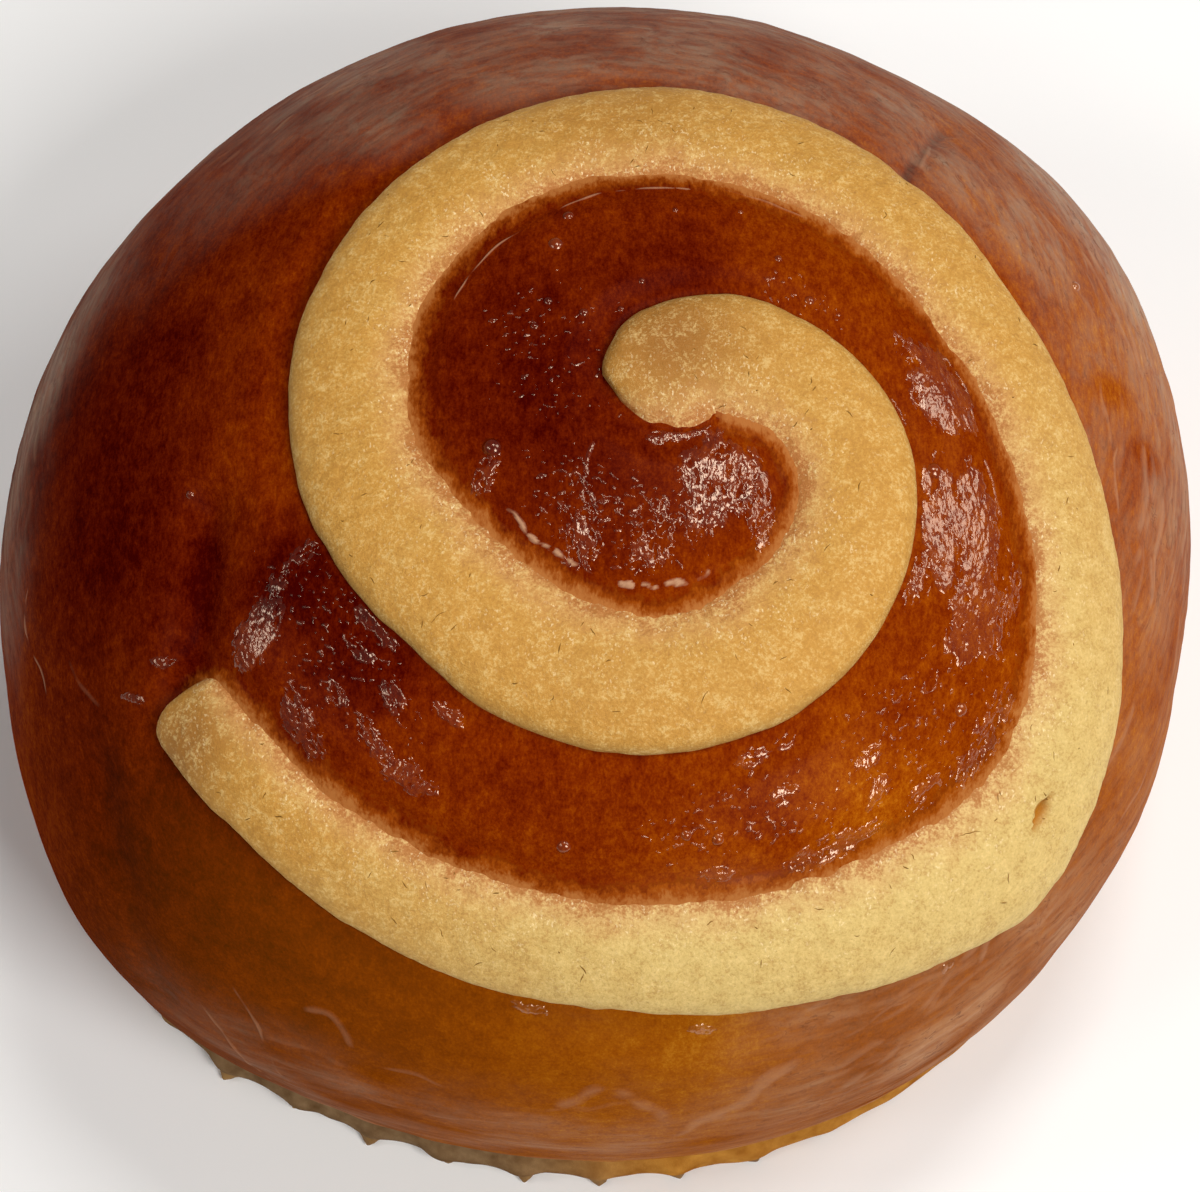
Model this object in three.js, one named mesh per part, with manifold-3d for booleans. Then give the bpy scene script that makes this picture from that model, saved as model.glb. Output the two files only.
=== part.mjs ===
// Custard bun: a soft domed bun with a spiral band of custard cream baked onto its crust.
// Millimetres and degrees, +Z up. The bun rests on Z = 0 and its plan is centred on the origin.

import * as THREE from 'three';
import { mergeVertices } from 'three/addons/utils/BufferGeometryUtils.js';
import Module from 'manifold-3d';

const wasm = await Module();
wasm.setup();

// ---------------------------------------------------------------- driving dimensions

const BUN_RADIUS = 52.5; // at the widest height, before the swells
const BUN_HEIGHT = 59;
const WIDEST_HEIGHT = 23;
const CROWN_POWER = 2.2; // 2 would make the crown's section a plain ellipse

// Below the widest height the wall tucks in to a crease above the foot.
const TUCK_HEIGHT = 4.6;
const TUCK_RADIUS = 48.8;
const WALL_POWER = 0.75;

// The pale foot's section, as [radius, height], from the flat base up to the crease.
const FOOT = [
  [49.4, 0],
  [50.0, 1.2],
  [50.1, 2.4],
  [49.5, 3.6],
];

// The bun rose unevenly: its plan outline swells and draws in at these azimuths.
const SWELLS = [
  { azimuth: 36, rise: 2.2, spread: 15 },
  { azimuth: 72, rise: 0.6, spread: 8 },
  { azimuth: 221, rise: 3.0, spread: 14 },
  { azimuth: 300, rise: 1.0, spread: 14 },
  { azimuth: 350, rise: -0.8, spread: 8 },
];
const FOOT_SWELL_SHARE = 0.5; // how much of a swell is left at the foot

// Broad folds in the crust. A path point is [azimuth, height].
const FOLDS = [
  { depth: 1.5, reach: 3.4, path: [[199, 52.8], [206, 51.6], [210, 50.3], [212, 48.5]] },
  { depth: 1.0, reach: 3.2, path: [[213, 40.5], [222, 35.7], [228, 27.8]] },
  { depth: 0.9, reach: 3.2, path: [[54, 47.8], [48, 44.9], [44, 41.1]] },
];

// A ring of little pointed crumbs stands out of the foot.
const CRUMB_COUNT = 45;
const CRUMB_ROOT_RADIUS = 49.2;
const CRUMB_TIP_RADIUS = 51.5;
const CRUMB_ROOT_HEIGHT = 1.1;
const CRUMB_TIP_HEIGHT = 0.5;
const CRUMB_HALF_WIDTH = 1.5;
const CRUMB_HALF_HEIGHT = 0.95;
const CRUMB_SIDES = 6;

// The custard's middle line, turning clockwise outwards about this point of the plan.
const SWIRL_POLE = [6, -5];
// [turned angle, distance from the pole, width of the band], from the inner end outwards.
const SWIRL_KNOTS = [
  [134, 7.2, 10.4], [113, 6.8, 11.0], [92, 7.3, 11.4], [75, 8.7, 11.0], [60, 9.8, 11.4],
  [30, 12.1, 10.6], [0, 14.5, 10.2], [-30, 15.8, 10.2], [-60, 17.0, 10.6], [-90, 18.6, 10.5],
  [-120, 19.4, 11.3], [-150, 21.1, 11.0], [-180, 25.2, 10.5], [-210, 28.8, 9.8],
  [-240, 30.8, 9.9], [-270, 31.2, 10.6], [-300, 30.3, 9.4], [-330, 29.7, 8.3],
  [-360, 32.5, 8.0], [-390, 37.1, 8.1], [-405, 38.4, 8.7], [-420, 37.9, 8.3],
  [-450, 37.7, 7.2], [-480, 39.4, 7.0], [-500, 41.2, 6.7], [-517, 43.3, 6.3],
];
// The band's section over the crust, from its crisp outer edge to its thin inner one, as
// [share of the half width, height over the crust], then back along the underside.
const BAND_TOP = [
  [1.0, 0.7], [0.95, 1.15], [0.82, 1.55], [0.55, 1.8], [0.1, 1.8], [-0.35, 1.55],
  [-0.75, 1.1], [-1.0, 0.6],
];
const BAND_GAP = 0.3; // between the band's underside and the crust
const BAND_UNDERSIDE = [-0.96, -0.35, 0.3, 0.95];
const BAND_TIP_HEIGHT = 0.5;
const INNER_END = { length: 5.3, power: 2 }; // round
const OUTER_END = { length: 2.4, power: 2.6 }; // blunt

// How finely the surfaces are divided.
const COLUMNS = 96;
const WALL_ROWS = 5;
const CROWN_ROWS = 20;
const BAND_STEP = 2.9;
const END_STEPS = 5;
const SWIRL_LINE_POINTS = 300;
const SLOPE_PROBE = 0.05;
const MERGE_DISTANCE = 0.0001;

const degrees = THREE.MathUtils.degToRad;

// ---------------------------------------------------------------- the crust's shape

/** The signed turn from one azimuth to another, in degrees, within half a turn. */
function turnBetween(from, to) {
  return ((to - from + 540) % 360) - 180;
}

/** How far the plan outline stands out of the plain circle at an azimuth. */
function swellAt(azimuth) {
  let rise = 0;
  for (const swell of SWELLS) {
    const away = turnBetween(swell.azimuth, azimuth) / swell.spread;
    rise += swell.rise * Math.exp(-away * away / 2);
  }
  return rise;
}

/** The share of the full radius that the crust keeps at a height over the crease. */
function shareAtHeight(height) {
  if (height >= WIDEST_HEIGHT) {
    const rise = (height - WIDEST_HEIGHT) / (BUN_HEIGHT - WIDEST_HEIGHT);
    return Math.pow(1 - rise * rise, 1 / CROWN_POWER);
  }
  const tuckShare = TUCK_RADIUS / BUN_RADIUS;
  const climb = (height - TUCK_HEIGHT) / (WIDEST_HEIGHT - TUCK_HEIGHT);
  return tuckShare + (1 - tuckShare) * Math.pow(Math.sin(climb * Math.PI / 2), WALL_POWER);
}

/** The plain crust's point at an azimuth, where the circle would have this radius. */
function crustPoint(azimuth, radius, height) {
  const fullness = Math.min(height / WIDEST_HEIGHT, 1);
  const swellShare = FOOT_SWELL_SHARE + (1 - FOOT_SWELL_SHARE) * fullness;
  const swollen = radius * (1 + swellAt(azimuth) * swellShare / BUN_RADIUS);
  const turn = degrees(azimuth);
  return new THREE.Vector3(swollen * Math.cos(turn), swollen * Math.sin(turn), height);
}

/** The crown's height over a point of the plan. */
function crownHeight(x, y) {
  const azimuth = THREE.MathUtils.radToDeg(Math.atan2(y, x));
  const share = Math.hypot(x, y) / (BUN_RADIUS + swellAt(azimuth));
  const rise = Math.sqrt(Math.max(0, 1 - Math.pow(share, CROWN_POWER)));
  return WIDEST_HEIGHT + (BUN_HEIGHT - WIDEST_HEIGHT) * rise;
}

/** A point at a distance over the crown, square to its surface. */
function overCrown(x, y, distance) {
  const slopeX = crownHeight(x + SLOPE_PROBE, y) - crownHeight(x - SLOPE_PROBE, y);
  const slopeY = crownHeight(x, y + SLOPE_PROBE) - crownHeight(x, y - SLOPE_PROBE);
  const outward = new THREE.Vector3(-slopeX, -slopeY, 2 * SLOPE_PROBE).normalize();
  return new THREE.Vector3(x, y, crownHeight(x, y)).addScaledVector(outward, distance);
}

/** Each fold's bottom line as a polyline on the plain crust. */
const foldLines = FOLDS.map((fold) => ({
  ...fold,
  line: fold.path.map(([azimuth, height]) =>
    crustPoint(azimuth, BUN_RADIUS * shareAtHeight(height), height)),
}));

/** The shortest distance from a point to a polyline. */
function distanceToLine(point, line) {
  const nearest = new THREE.Vector3();
  let distance = Infinity;
  for (let i = 0; i + 1 < line.length; i += 1) {
    new THREE.Line3(line[i], line[i + 1]).closestPointToPoint(point, true, nearest);
    distance = Math.min(distance, nearest.distanceTo(point));
  }
  return distance;
}

/** Presses the folds into a point of the plain crust. */
function folded(point) {
  const heart = new THREE.Vector3(0, 0, WIDEST_HEIGHT);
  const inward = heart.sub(point).normalize();
  let depth = 0;
  for (const fold of foldLines) {
    const away = distanceToLine(point, fold.line) / fold.reach;
    depth += fold.depth * Math.exp(-away * away);
  }
  return point.clone().addScaledVector(inward, depth);
}

// ---------------------------------------------------------------- closed meshes

/** Skins a stack of rings, counter-clockwise seen from its last point, into a closed mesh. */
function skinRings(rings, firstPoint, lastPoint) {
  const size = rings[0].length;
  const last = rings.length * size + 1;
  const points = [firstPoint, ...rings.flat(), lastPoint];
  const at = (ring, place) => 1 + ring * size + (place % size);
  const faces = [];
  for (let place = 0; place < size; place += 1) {
    faces.push(0, at(0, place + 1), at(0, place));
    for (let ring = 0; ring + 1 < rings.length; ring += 1) {
      faces.push(at(ring, place), at(ring, place + 1), at(ring + 1, place + 1));
      faces.push(at(ring, place), at(ring + 1, place + 1), at(ring + 1, place));
    }
    faces.push(at(rings.length - 1, place), at(rings.length - 1, place + 1), last);
  }
  const geometry = new THREE.BufferGeometry().setFromPoints(points);
  geometry.setIndex(faces);
  return geometry;
}

/** A closed mesh as a solid that can be joined. */
function asSolid(geometry) {
  const bare = geometry.clone();
  bare.deleteAttribute('normal');
  bare.deleteAttribute('uv');
  const merged = mergeVertices(bare, MERGE_DISTANCE);
  return new wasm.Manifold(new wasm.Mesh({
    numProp: 3,
    vertProperties: new Float32Array(merged.attributes.position.array),
    triVerts: new Uint32Array(merged.index.array),
  }));
}

/** A joined solid as a mesh's geometry. */
function asGeometry(solid) {
  const mesh = solid.getMesh();
  const geometry = new THREE.BufferGeometry();
  geometry.setAttribute('position', new THREE.BufferAttribute(mesh.vertProperties, 3));
  geometry.setIndex(new THREE.BufferAttribute(mesh.triVerts, 1));
  geometry.computeVertexNormals();
  return geometry;
}

// ---------------------------------------------------------------- the bun

/** The bun's section from the base up, as [radius, height] rows. */
function bunSection() {
  const rows = [...FOOT];
  for (let row = 0; row < WALL_ROWS; row += 1) {
    const height = TUCK_HEIGHT + (WIDEST_HEIGHT - TUCK_HEIGHT) * row / WALL_ROWS;
    rows.push([BUN_RADIUS * shareAtHeight(height), height]);
  }
  for (let row = 0; row < CROWN_ROWS; row += 1) {
    const climb = Math.sin(row / CROWN_ROWS * Math.PI / 2);
    const height = WIDEST_HEIGHT + (BUN_HEIGHT - WIDEST_HEIGHT) * climb;
    rows.push([BUN_RADIUS * shareAtHeight(height), height]);
  }
  return rows;
}

/** One ring of the crust, before or after the folds are pressed in. */
function crustRing(radius, height, finish) {
  const ring = [];
  for (let column = 0; column < COLUMNS; column += 1) {
    ring.push(finish(crustPoint(column / COLUMNS * 360, radius, height)));
  }
  return ring;
}

/** The bun's body, from the flat base to the top of its crown. */
function bunBody() {
  const rings = bunSection().map(([radius, height]) => crustRing(radius, height, folded));
  return skinRings(rings, new THREE.Vector3(0, 0, 0), new THREE.Vector3(0, 0, BUN_HEIGHT));
}

/** One pointed crumb of the foot. Its length varies a little from one to the next. */
function footCrumb(index) {
  const azimuth = index / CRUMB_COUNT * 360 - 90;
  const reach = CRUMB_TIP_RADIUS + 0.3 * Math.sin(index * 2.4);
  const root = crustPoint(azimuth, CRUMB_ROOT_RADIUS, CRUMB_ROOT_HEIGHT);
  const tip = crustPoint(azimuth, reach, CRUMB_TIP_HEIGHT);
  const length = tip.distanceTo(root);
  const geometry = new THREE.ConeGeometry(1, length, CRUMB_SIDES, 1);
  geometry.scale(CRUMB_HALF_WIDTH, 1, CRUMB_HALF_HEIGHT);
  geometry.translate(0, length / 2, 0);
  const along = tip.clone().sub(root).normalize();
  const across = new THREE.Vector3(0, 0, 1).cross(along).normalize();
  const upward = new THREE.Vector3().crossVectors(along, across);
  geometry.applyMatrix4(new THREE.Matrix4().makeBasis(across.negate(), along, upward));
  geometry.translate(root.x, root.y, root.z);
  return geometry;
}

/** The bun with its ring of crumbs, as one solid. */
function bunGeometry() {
  let bun = asSolid(bunBody());
  for (let index = 0; index < CRUMB_COUNT; index += 1) {
    bun = bun.add(asSolid(footCrumb(index)));
  }
  return asGeometry(bun);
}

// ---------------------------------------------------------------- the custard swirl

/** The band's middle line. Each point's third coordinate holds the band's width there. */
function swirlCurve() {
  const knots = SWIRL_KNOTS.map((knot) => new THREE.Vector3(...knot));
  const turned = new THREE.CatmullRomCurve3(knots, false, 'catmullrom', 0.5);
  const line = turned.getPoints(SWIRL_LINE_POINTS).map((knot) => new THREE.Vector3(
    SWIRL_POLE[0] + knot.y * Math.cos(degrees(knot.x)),
    SWIRL_POLE[1] + knot.y * Math.sin(degrees(knot.x)),
    knot.z,
  ));
  const curve = new THREE.CatmullRomCurve3(line, false, 'catmullrom', 0.5);
  curve.arcLengthDivisions = 4 * SWIRL_LINE_POINTS;
  return curve;
}

/** How full the band is at a distance from one of its ends, from 0 at the tip to 1. */
function endFullness(distance, end) {
  const short = Math.max(0, 1 - distance / end.length);
  return Math.pow(1 - Math.pow(short, end.power), 1 / end.power);
}

/** Distances along the band at which it has a section, closer together at both ends. */
function swirlStations(length) {
  const stations = [];
  for (let step = 1; step <= END_STEPS; step += 1) {
    stations.push(INNER_END.length * (1 - Math.cos(step / END_STEPS * Math.PI / 2)));
  }
  const middle = length - INNER_END.length - OUTER_END.length;
  const steps = Math.round(middle / BAND_STEP);
  for (let step = 1; step <= steps; step += 1) {
    stations.push(INNER_END.length + middle * step / steps);
  }
  for (let step = 1; step < END_STEPS; step += 1) {
    const turn = step / END_STEPS * Math.PI / 2;
    stations.push(length - OUTER_END.length * (1 - Math.sin(turn)));
  }
  return stations;
}

/** The band as one closed mesh that lies along the crown. */
function swirlGeometry() {
  const curve = swirlCurve();
  const length = curve.getLength();
  const rings = swirlStations(length).map((station) => {
    const middle = curve.getPointAt(station / length);
    const travel = curve.getTangentAt(station / length);
    const outward = new THREE.Vector2(-travel.y, travel.x).normalize();
    const fullness = endFullness(station, INNER_END) * endFullness(length - station, OUTER_END);
    const reach = middle.z / 2 * fullness;
    const sectionPoint = (share, height) =>
      overCrown(middle.x + outward.x * reach * share, middle.y + outward.y * reach * share, height);
    const top = BAND_TOP.map(([share, height]) =>
      sectionPoint(share, BAND_TIP_HEIGHT + (height - BAND_TIP_HEIGHT) * Math.sqrt(fullness)));
    const underside = BAND_UNDERSIDE.map((share) => sectionPoint(share, BAND_GAP));
    return [...top, ...underside];
  });
  const innerTip = curve.getPointAt(0);
  const outerTip = curve.getPointAt(1);
  return skinRings(
    rings,
    overCrown(innerTip.x, innerTip.y, BAND_TIP_HEIGHT),
    overCrown(outerTip.x, outerTip.y, BAND_TIP_HEIGHT),
  );
}

// ---------------------------------------------------------------- the whole

const crust = new THREE.MeshStandardMaterial({ color: 0x7d3a12, roughness: 0.35, metalness: 0 });
const custard = new THREE.MeshStandardMaterial({ color: 0xd4b06a, roughness: 0.85, metalness: 0 });

const bun = new THREE.Mesh(bunGeometry(), crust);
bun.name = 'bun';

const swirl = new THREE.Mesh(swirlGeometry(), custard);
swirl.name = 'custard_swirl';

const group = new THREE.Group();
group.add(bun, swirl);

// The widest ring sets the plan's extents, so its middle goes over the origin.
const widest = new THREE.Box3().setFromPoints(
  crustRing(BUN_RADIUS, WIDEST_HEIGHT, (point) => point),
);
const middle = widest.getCenter(new THREE.Vector3());
group.position.set(-middle.x, -middle.y, 0);

export default group;
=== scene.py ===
"""A custard bun: glossy egg-washed crust, a baked spiral of custard cream, a crumbed foot.

Shapes are worked out in millimetres about the bun's own axis, then moved over the frame's
origin and turned into metres. +Z is up, and the nearest side of the bun is at -Y.
"""

import itertools
import math

import bpy
import numpy as np
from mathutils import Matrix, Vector
from mathutils.bvhtree import BVHTree


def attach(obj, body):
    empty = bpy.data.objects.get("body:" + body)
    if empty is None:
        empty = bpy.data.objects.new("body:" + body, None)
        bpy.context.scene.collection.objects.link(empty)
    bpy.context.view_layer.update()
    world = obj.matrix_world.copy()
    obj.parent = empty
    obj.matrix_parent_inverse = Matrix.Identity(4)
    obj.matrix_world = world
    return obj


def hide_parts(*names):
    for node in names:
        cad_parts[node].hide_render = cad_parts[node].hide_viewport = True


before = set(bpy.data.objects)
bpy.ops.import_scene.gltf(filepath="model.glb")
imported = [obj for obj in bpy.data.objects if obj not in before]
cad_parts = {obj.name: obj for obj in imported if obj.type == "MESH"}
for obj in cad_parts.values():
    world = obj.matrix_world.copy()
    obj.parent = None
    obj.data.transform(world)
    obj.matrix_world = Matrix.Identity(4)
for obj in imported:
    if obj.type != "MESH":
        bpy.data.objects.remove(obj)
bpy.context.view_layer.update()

MM = 0.001

# ------------------------------------------------------------------ the bun's dimensions

BUN_RADIUS = 52.5
BUN_HEIGHT = 59.0
WIDEST_HEIGHT = 23.0
CROWN_POWER = 2.2
TUCK_HEIGHT = 4.6
TUCK_RADIUS = 48.8
WALL_POWER = 0.75
FOOT = [(49.4, 0.0), (50.0, 1.2), (50.1, 2.4), (49.5, 3.6)]
SWELLS = [
    (36, 2.2, 15), (72, 0.6, 8), (132, -0.6, 20), (221, 3.0, 14), (300, 0.8, 14), (350, -0.8, 8),
]
FOOT_SWELL_SHARE = 0.5
FOOT_SPREAD = (229.0, 0.42, 15.0)  # azimuth, more of the swell at the foot, and its spread
# Broad folds: depth, reach, and the path of the bottom as (azimuth, height).
FOLDS = [
    (1.0, 3.4, [(194, 52.0), (198, 51.6), (203, 51.2), (208, 50.4), (212, 48.9)]),
    (0.8, 3.2, [(213, 40.5), (222, 35.7), (228, 27.8)]),
    (0.5, 1.5, [(42, 51.4), (43.8, 49.8), (45.2, 47.6), (46.2, 45.4)]),
]

CRUMB_COUNT = 45
CRUMB_ROOT_RADIUS = 48.4
CRUMB_TIP_RADIUS = 51.3  # of the longest
CRUMB_HALF_WIDTH = 1.9
CRUMB_HALF_HEIGHT = 1.0

SWIRL_POLE = (6.0, -5.0)
# Turned angle, distance from the pole and width of the band, from the inner end outwards.
SWIRL_KNOTS = [
    (134, 7.2, 10.4), (113, 6.8, 11.0), (92, 7.3, 11.4), (75, 8.7, 11.0), (60, 9.8, 11.4),
    (30, 12.1, 10.6), (0, 14.5, 10.2), (-30, 15.8, 10.2), (-60, 17.0, 10.6),
    (-90, 18.6, 10.5), (-120, 19.4, 11.3), (-150, 21.1, 11.0), (-180, 25.2, 10.5),
    (-210, 28.8, 9.8), (-240, 30.8, 9.9), (-270, 31.2, 10.6), (-300, 30.3, 9.4),
    (-330, 29.7, 8.3), (-360, 32.5, 8.0), (-390, 37.1, 8.1), (-405, 38.4, 8.7),
    (-420, 37.9, 8.3), (-450, 37.7, 7.2), (-480, 39.4, 7.0), (-500, 41.2, 6.7),
    (-517, 43.3, 6.3),
]
BAND_HEIGHT = 1.8
INNER_END = (5.3, 2.0)  # length and power of the rounding
OUTER_END = (2.4, 2.6)
CRISP_INNER_END = (8.0, 12.0)  # so far from the inner end the band is crisp on both sides


# ------------------------------------------------------------------ small helpers


def smooth(value, start, end):
    """0 before start and 1 after end, with a soft turn between them."""
    share = np.clip((value - start) / (end - start), 0.0, 1.0)
    return share * share * (3.0 - 2.0 * share)


def hill(value, centre, spread, power=2):
    """1 at the centre, and falling off about spread from it, steeply at a high power."""
    return np.exp(-(((value - centre) / spread) ** power))


def dab(points, x, y, reach, power=2):
    """1 at a place in the plan, and falling off about reach from it."""
    return hill(np.hypot(points[:, 0] - x, points[:, 1] - y), 0.0, reach, power)


def turned(azimuth, centre):
    """How far one azimuth is turned from another, from -180 to 180 degrees."""
    return (azimuth - centre + 540.0) % 360.0 - 180.0


def azimuth_of(points):
    return np.degrees(np.arctan2(points[:, 1], points[:, 0]))


def reach_of(points):
    """How far points are from the bun's axis."""
    return np.hypot(points[:, 0], points[:, 1])


def unit(vectors):
    """The vectors' directions, each of length 1."""
    return vectors / np.linalg.norm(vectors, axis=-1, keepdims=True)


NOISE_CELLS = 32


def lumps(points, size, seed):
    """Soft unevenness from -1 to 1, with lumps about as wide as size."""
    draw = np.random.default_rng(seed)
    table = draw.uniform(-1.0, 1.0, (NOISE_CELLS,) * 3)
    tilt = np.linalg.qr(draw.normal(size=(3, 3)))[0]
    place = points @ tilt / size + draw.uniform(0, NOISE_CELLS, 3)
    cell = np.floor(place).astype(int)
    part = place - cell
    part = part * part * (3.0 - 2.0 * part)
    total = 0.0
    for corner in itertools.product((0, 1), repeat=3):
        weight = np.prod(np.where(np.array(corner), part, 1.0 - part), axis=-1)
        x, y, z = np.moveaxis((cell + corner) % NOISE_CELLS, -1, 0)
        total = total + weight * table[x, y, z]
    return total


def lumpy(points, *layers):
    """Lumps of several sizes together: the height, size and seed of each."""
    return sum(height * lumps(points, size, seed) for height, size, seed in layers)


def wrinkles(points, size, seed):
    """Sharp-crested wrinkles: 1 along the crests, and down to -1 between them."""
    return 1.0 - np.abs(lumps(points, size, seed)) * 2.0


def line_distance(points, line):
    """The shortest distance from each point to a polyline, in as many dimensions as both have."""
    nearest = np.full(len(points), np.inf)
    line = np.asarray(line, float)
    for start, end in zip(line[:-1], line[1:]):
        along = end - start
        share = np.clip((points - start) @ along / (along @ along), 0.0, 1.0)
        away = np.linalg.norm(points - start - share[:, None] * along, axis=1)
        nearest = np.minimum(nearest, away)
    return nearest


def distances_along(line):
    """How far along a line each of its points lies."""
    return np.append(0.0, np.cumsum(np.linalg.norm(np.diff(line, axis=0), axis=1)))


def points_along(line, travelled, along):
    """A line's points at these distances, where travelled has its own points' distances."""
    return np.stack([np.interp(along, travelled, part) for part in line.T], -1)


# ------------------------------------------------------------------ the plain crust


def swell_at(azimuth):
    """How far the plan outline stands out of the plain circle."""
    rise = 0.0
    for centre, height, spread in SWELLS:
        away = turned(azimuth, centre) / spread
        rise = rise + height * np.exp(-away * away / 2.0)
    return rise


def share_at_height(height):
    """The share of the full radius that the crust keeps at a height."""
    rise = (height - WIDEST_HEIGHT) / (BUN_HEIGHT - WIDEST_HEIGHT)
    crown = np.clip(1.0 - np.clip(rise, 0.0, 1.0) ** 2, 0.0, 1.0) ** (1.0 / CROWN_POWER)
    tuck = TUCK_RADIUS / BUN_RADIUS
    climb = np.clip((height - TUCK_HEIGHT) / (WIDEST_HEIGHT - TUCK_HEIGHT), 0.0, 1.0)
    wall = tuck + (1.0 - tuck) * np.sin(climb * np.pi / 2.0) ** WALL_POWER
    return np.where(height >= WIDEST_HEIGHT, crown, wall)


def crust_point(azimuth, radius, height):
    """The plain crust's point where the plain circle would have this radius."""
    azimuth, radius, height = np.broadcast_arrays(azimuth, radius, height)
    fullness = np.minimum(height / WIDEST_HEIGHT, 1.0)
    spread_at, more, spread = FOOT_SPREAD
    foot_share = FOOT_SWELL_SHARE + more * hill(turned(azimuth, spread_at), 0.0, spread)
    share = foot_share + (1.0 - foot_share) * fullness
    swollen = radius * (1.0 + swell_at(azimuth) * share / BUN_RADIUS)
    turn = np.radians(azimuth)
    return np.stack([swollen * np.cos(turn), swollen * np.sin(turn), height], -1)


def surface_point(azimuth, height):
    """The plain crust's point at an azimuth and a height."""
    return crust_point(azimuth, BUN_RADIUS * share_at_height(height), height)


def crown_height(x, y):
    """The plain crown's height over a place in the plan."""
    share = np.hypot(x, y) / (BUN_RADIUS + swell_at(np.degrees(np.arctan2(y, x))))
    rise = np.sqrt(np.clip(1.0 - share**CROWN_POWER, 0.0, None))
    return WIDEST_HEIGHT + (BUN_HEIGHT - WIDEST_HEIGHT) * rise


SLOPE_PROBE = 0.05


def crown_normal(x, y):
    slope_x = crown_height(x + SLOPE_PROBE, y) - crown_height(x - SLOPE_PROBE, y)
    slope_y = crown_height(x, y + SLOPE_PROBE) - crown_height(x, y - SLOPE_PROBE)
    return unit(np.stack([-slope_x, -slope_y, np.full_like(x, 2.0 * SLOPE_PROBE)], -1))


WIDEST_RING = crust_point(np.arange(96) * 360.0 / 96.0, BUN_RADIUS, WIDEST_HEIGHT)
MIDDLE = (WIDEST_RING.min(0) + WIDEST_RING.max(0)) / 2.0
MIDDLE[2] = 0.0
HEART = np.array([0.0, 0.0, WIDEST_HEIGHT])

FOLD_LINES = [
    (depth, reach, [surface_point(*place) for place in path]) for depth, reach, path in FOLDS
]


def pressed_in(points):
    """How the broad folds move points, toward the bun's heart."""
    depth = 0.0
    for deep, reach, line in FOLD_LINES:
        away = line_distance(points, line) / reach
        depth = depth + deep * (0.6 * np.exp(-(away**2)) + 0.4 * np.exp(-((1.8 * away) ** 2)))
    return unit(HEART - points) * depth[:, None]


# ------------------------------------------------------------------ the swirl's middle line


def smooth_curve(points, steps):
    """A Catmull-Rom curve through points."""
    points = np.asarray(points, float)
    guides = np.vstack([2 * points[0] - points[1], points, 2 * points[-1] - points[-2]])
    share = np.linspace(0.0, 1.0, steps, endpoint=False)[:, None]
    pieces = []
    for a, b, c, d in zip(guides[:-3], guides[1:-2], guides[2:-1], guides[3:]):
        square = (2 * a - 5 * b + 4 * c - d) * share**2
        cube = (3 * b - a - 3 * c + d) * share**3
        pieces.append(0.5 * (2 * b + (c - a) * share + square + cube))
    return np.vstack([*pieces, points[-1:]])


def swirl_line(count):
    """The band's middle line in the plan: points, outward side, half widths, distances."""
    angle, reach, width = smooth_curve(SWIRL_KNOTS, 40).T
    turn = np.radians(angle)
    line = SWIRL_POLE + reach[:, None] * np.stack([np.cos(turn), np.sin(turn)], -1)
    travelled = distances_along(line)
    along = np.linspace(0.0, travelled[-1], count)
    points = points_along(line, travelled, along)
    travel = unit(np.gradient(points, axis=0))
    outward = np.stack([-travel[:, 1], travel[:, 0]], -1)
    half = np.interp(along, travelled, width) / 2.0
    for (length, power), away in ((INNER_END, along), (OUTER_END, travelled[-1] - along)):
        short = np.clip(1.0 - away / length, 0.0, 1.0)
        half = half * (1.0 - short**power) ** (1.0 / power)
    return points, outward, half, along


LINE_STATIONS = 600
BATCH = 20000  # points measured at a time


def beside_band(x, y):
    """Distance in the plan out of the band's edge, and which side: 1 outer, -1 inner."""
    points, outward, half, along = swirl_line(LINE_STATIONS)
    half = np.minimum(half, np.minimum(along, along[-1] - along))
    crisp = 1.0 - smooth(along, *CRISP_INNER_END)
    gap = np.empty(len(x))
    side = np.empty(len(x))
    for start in range(0, len(x), BATCH):
        part = slice(start, start + BATCH)
        away_x = x[part, None] - points[:, 0]
        away_y = y[part, None] - points[:, 1]
        out = np.hypot(away_x, away_y) - half
        near = out.argmin(1)
        row = np.arange(len(near))
        gap[part] = out[row, near]
        across = away_x[row, near] * outward[near, 0] + away_y[row, near] * outward[near, 1]
        side[part] = np.maximum(np.sign(across), 2.0 * crisp[near] - 1.0)
    return gap, side


# ------------------------------------------------------------------ marks on the crust

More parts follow.
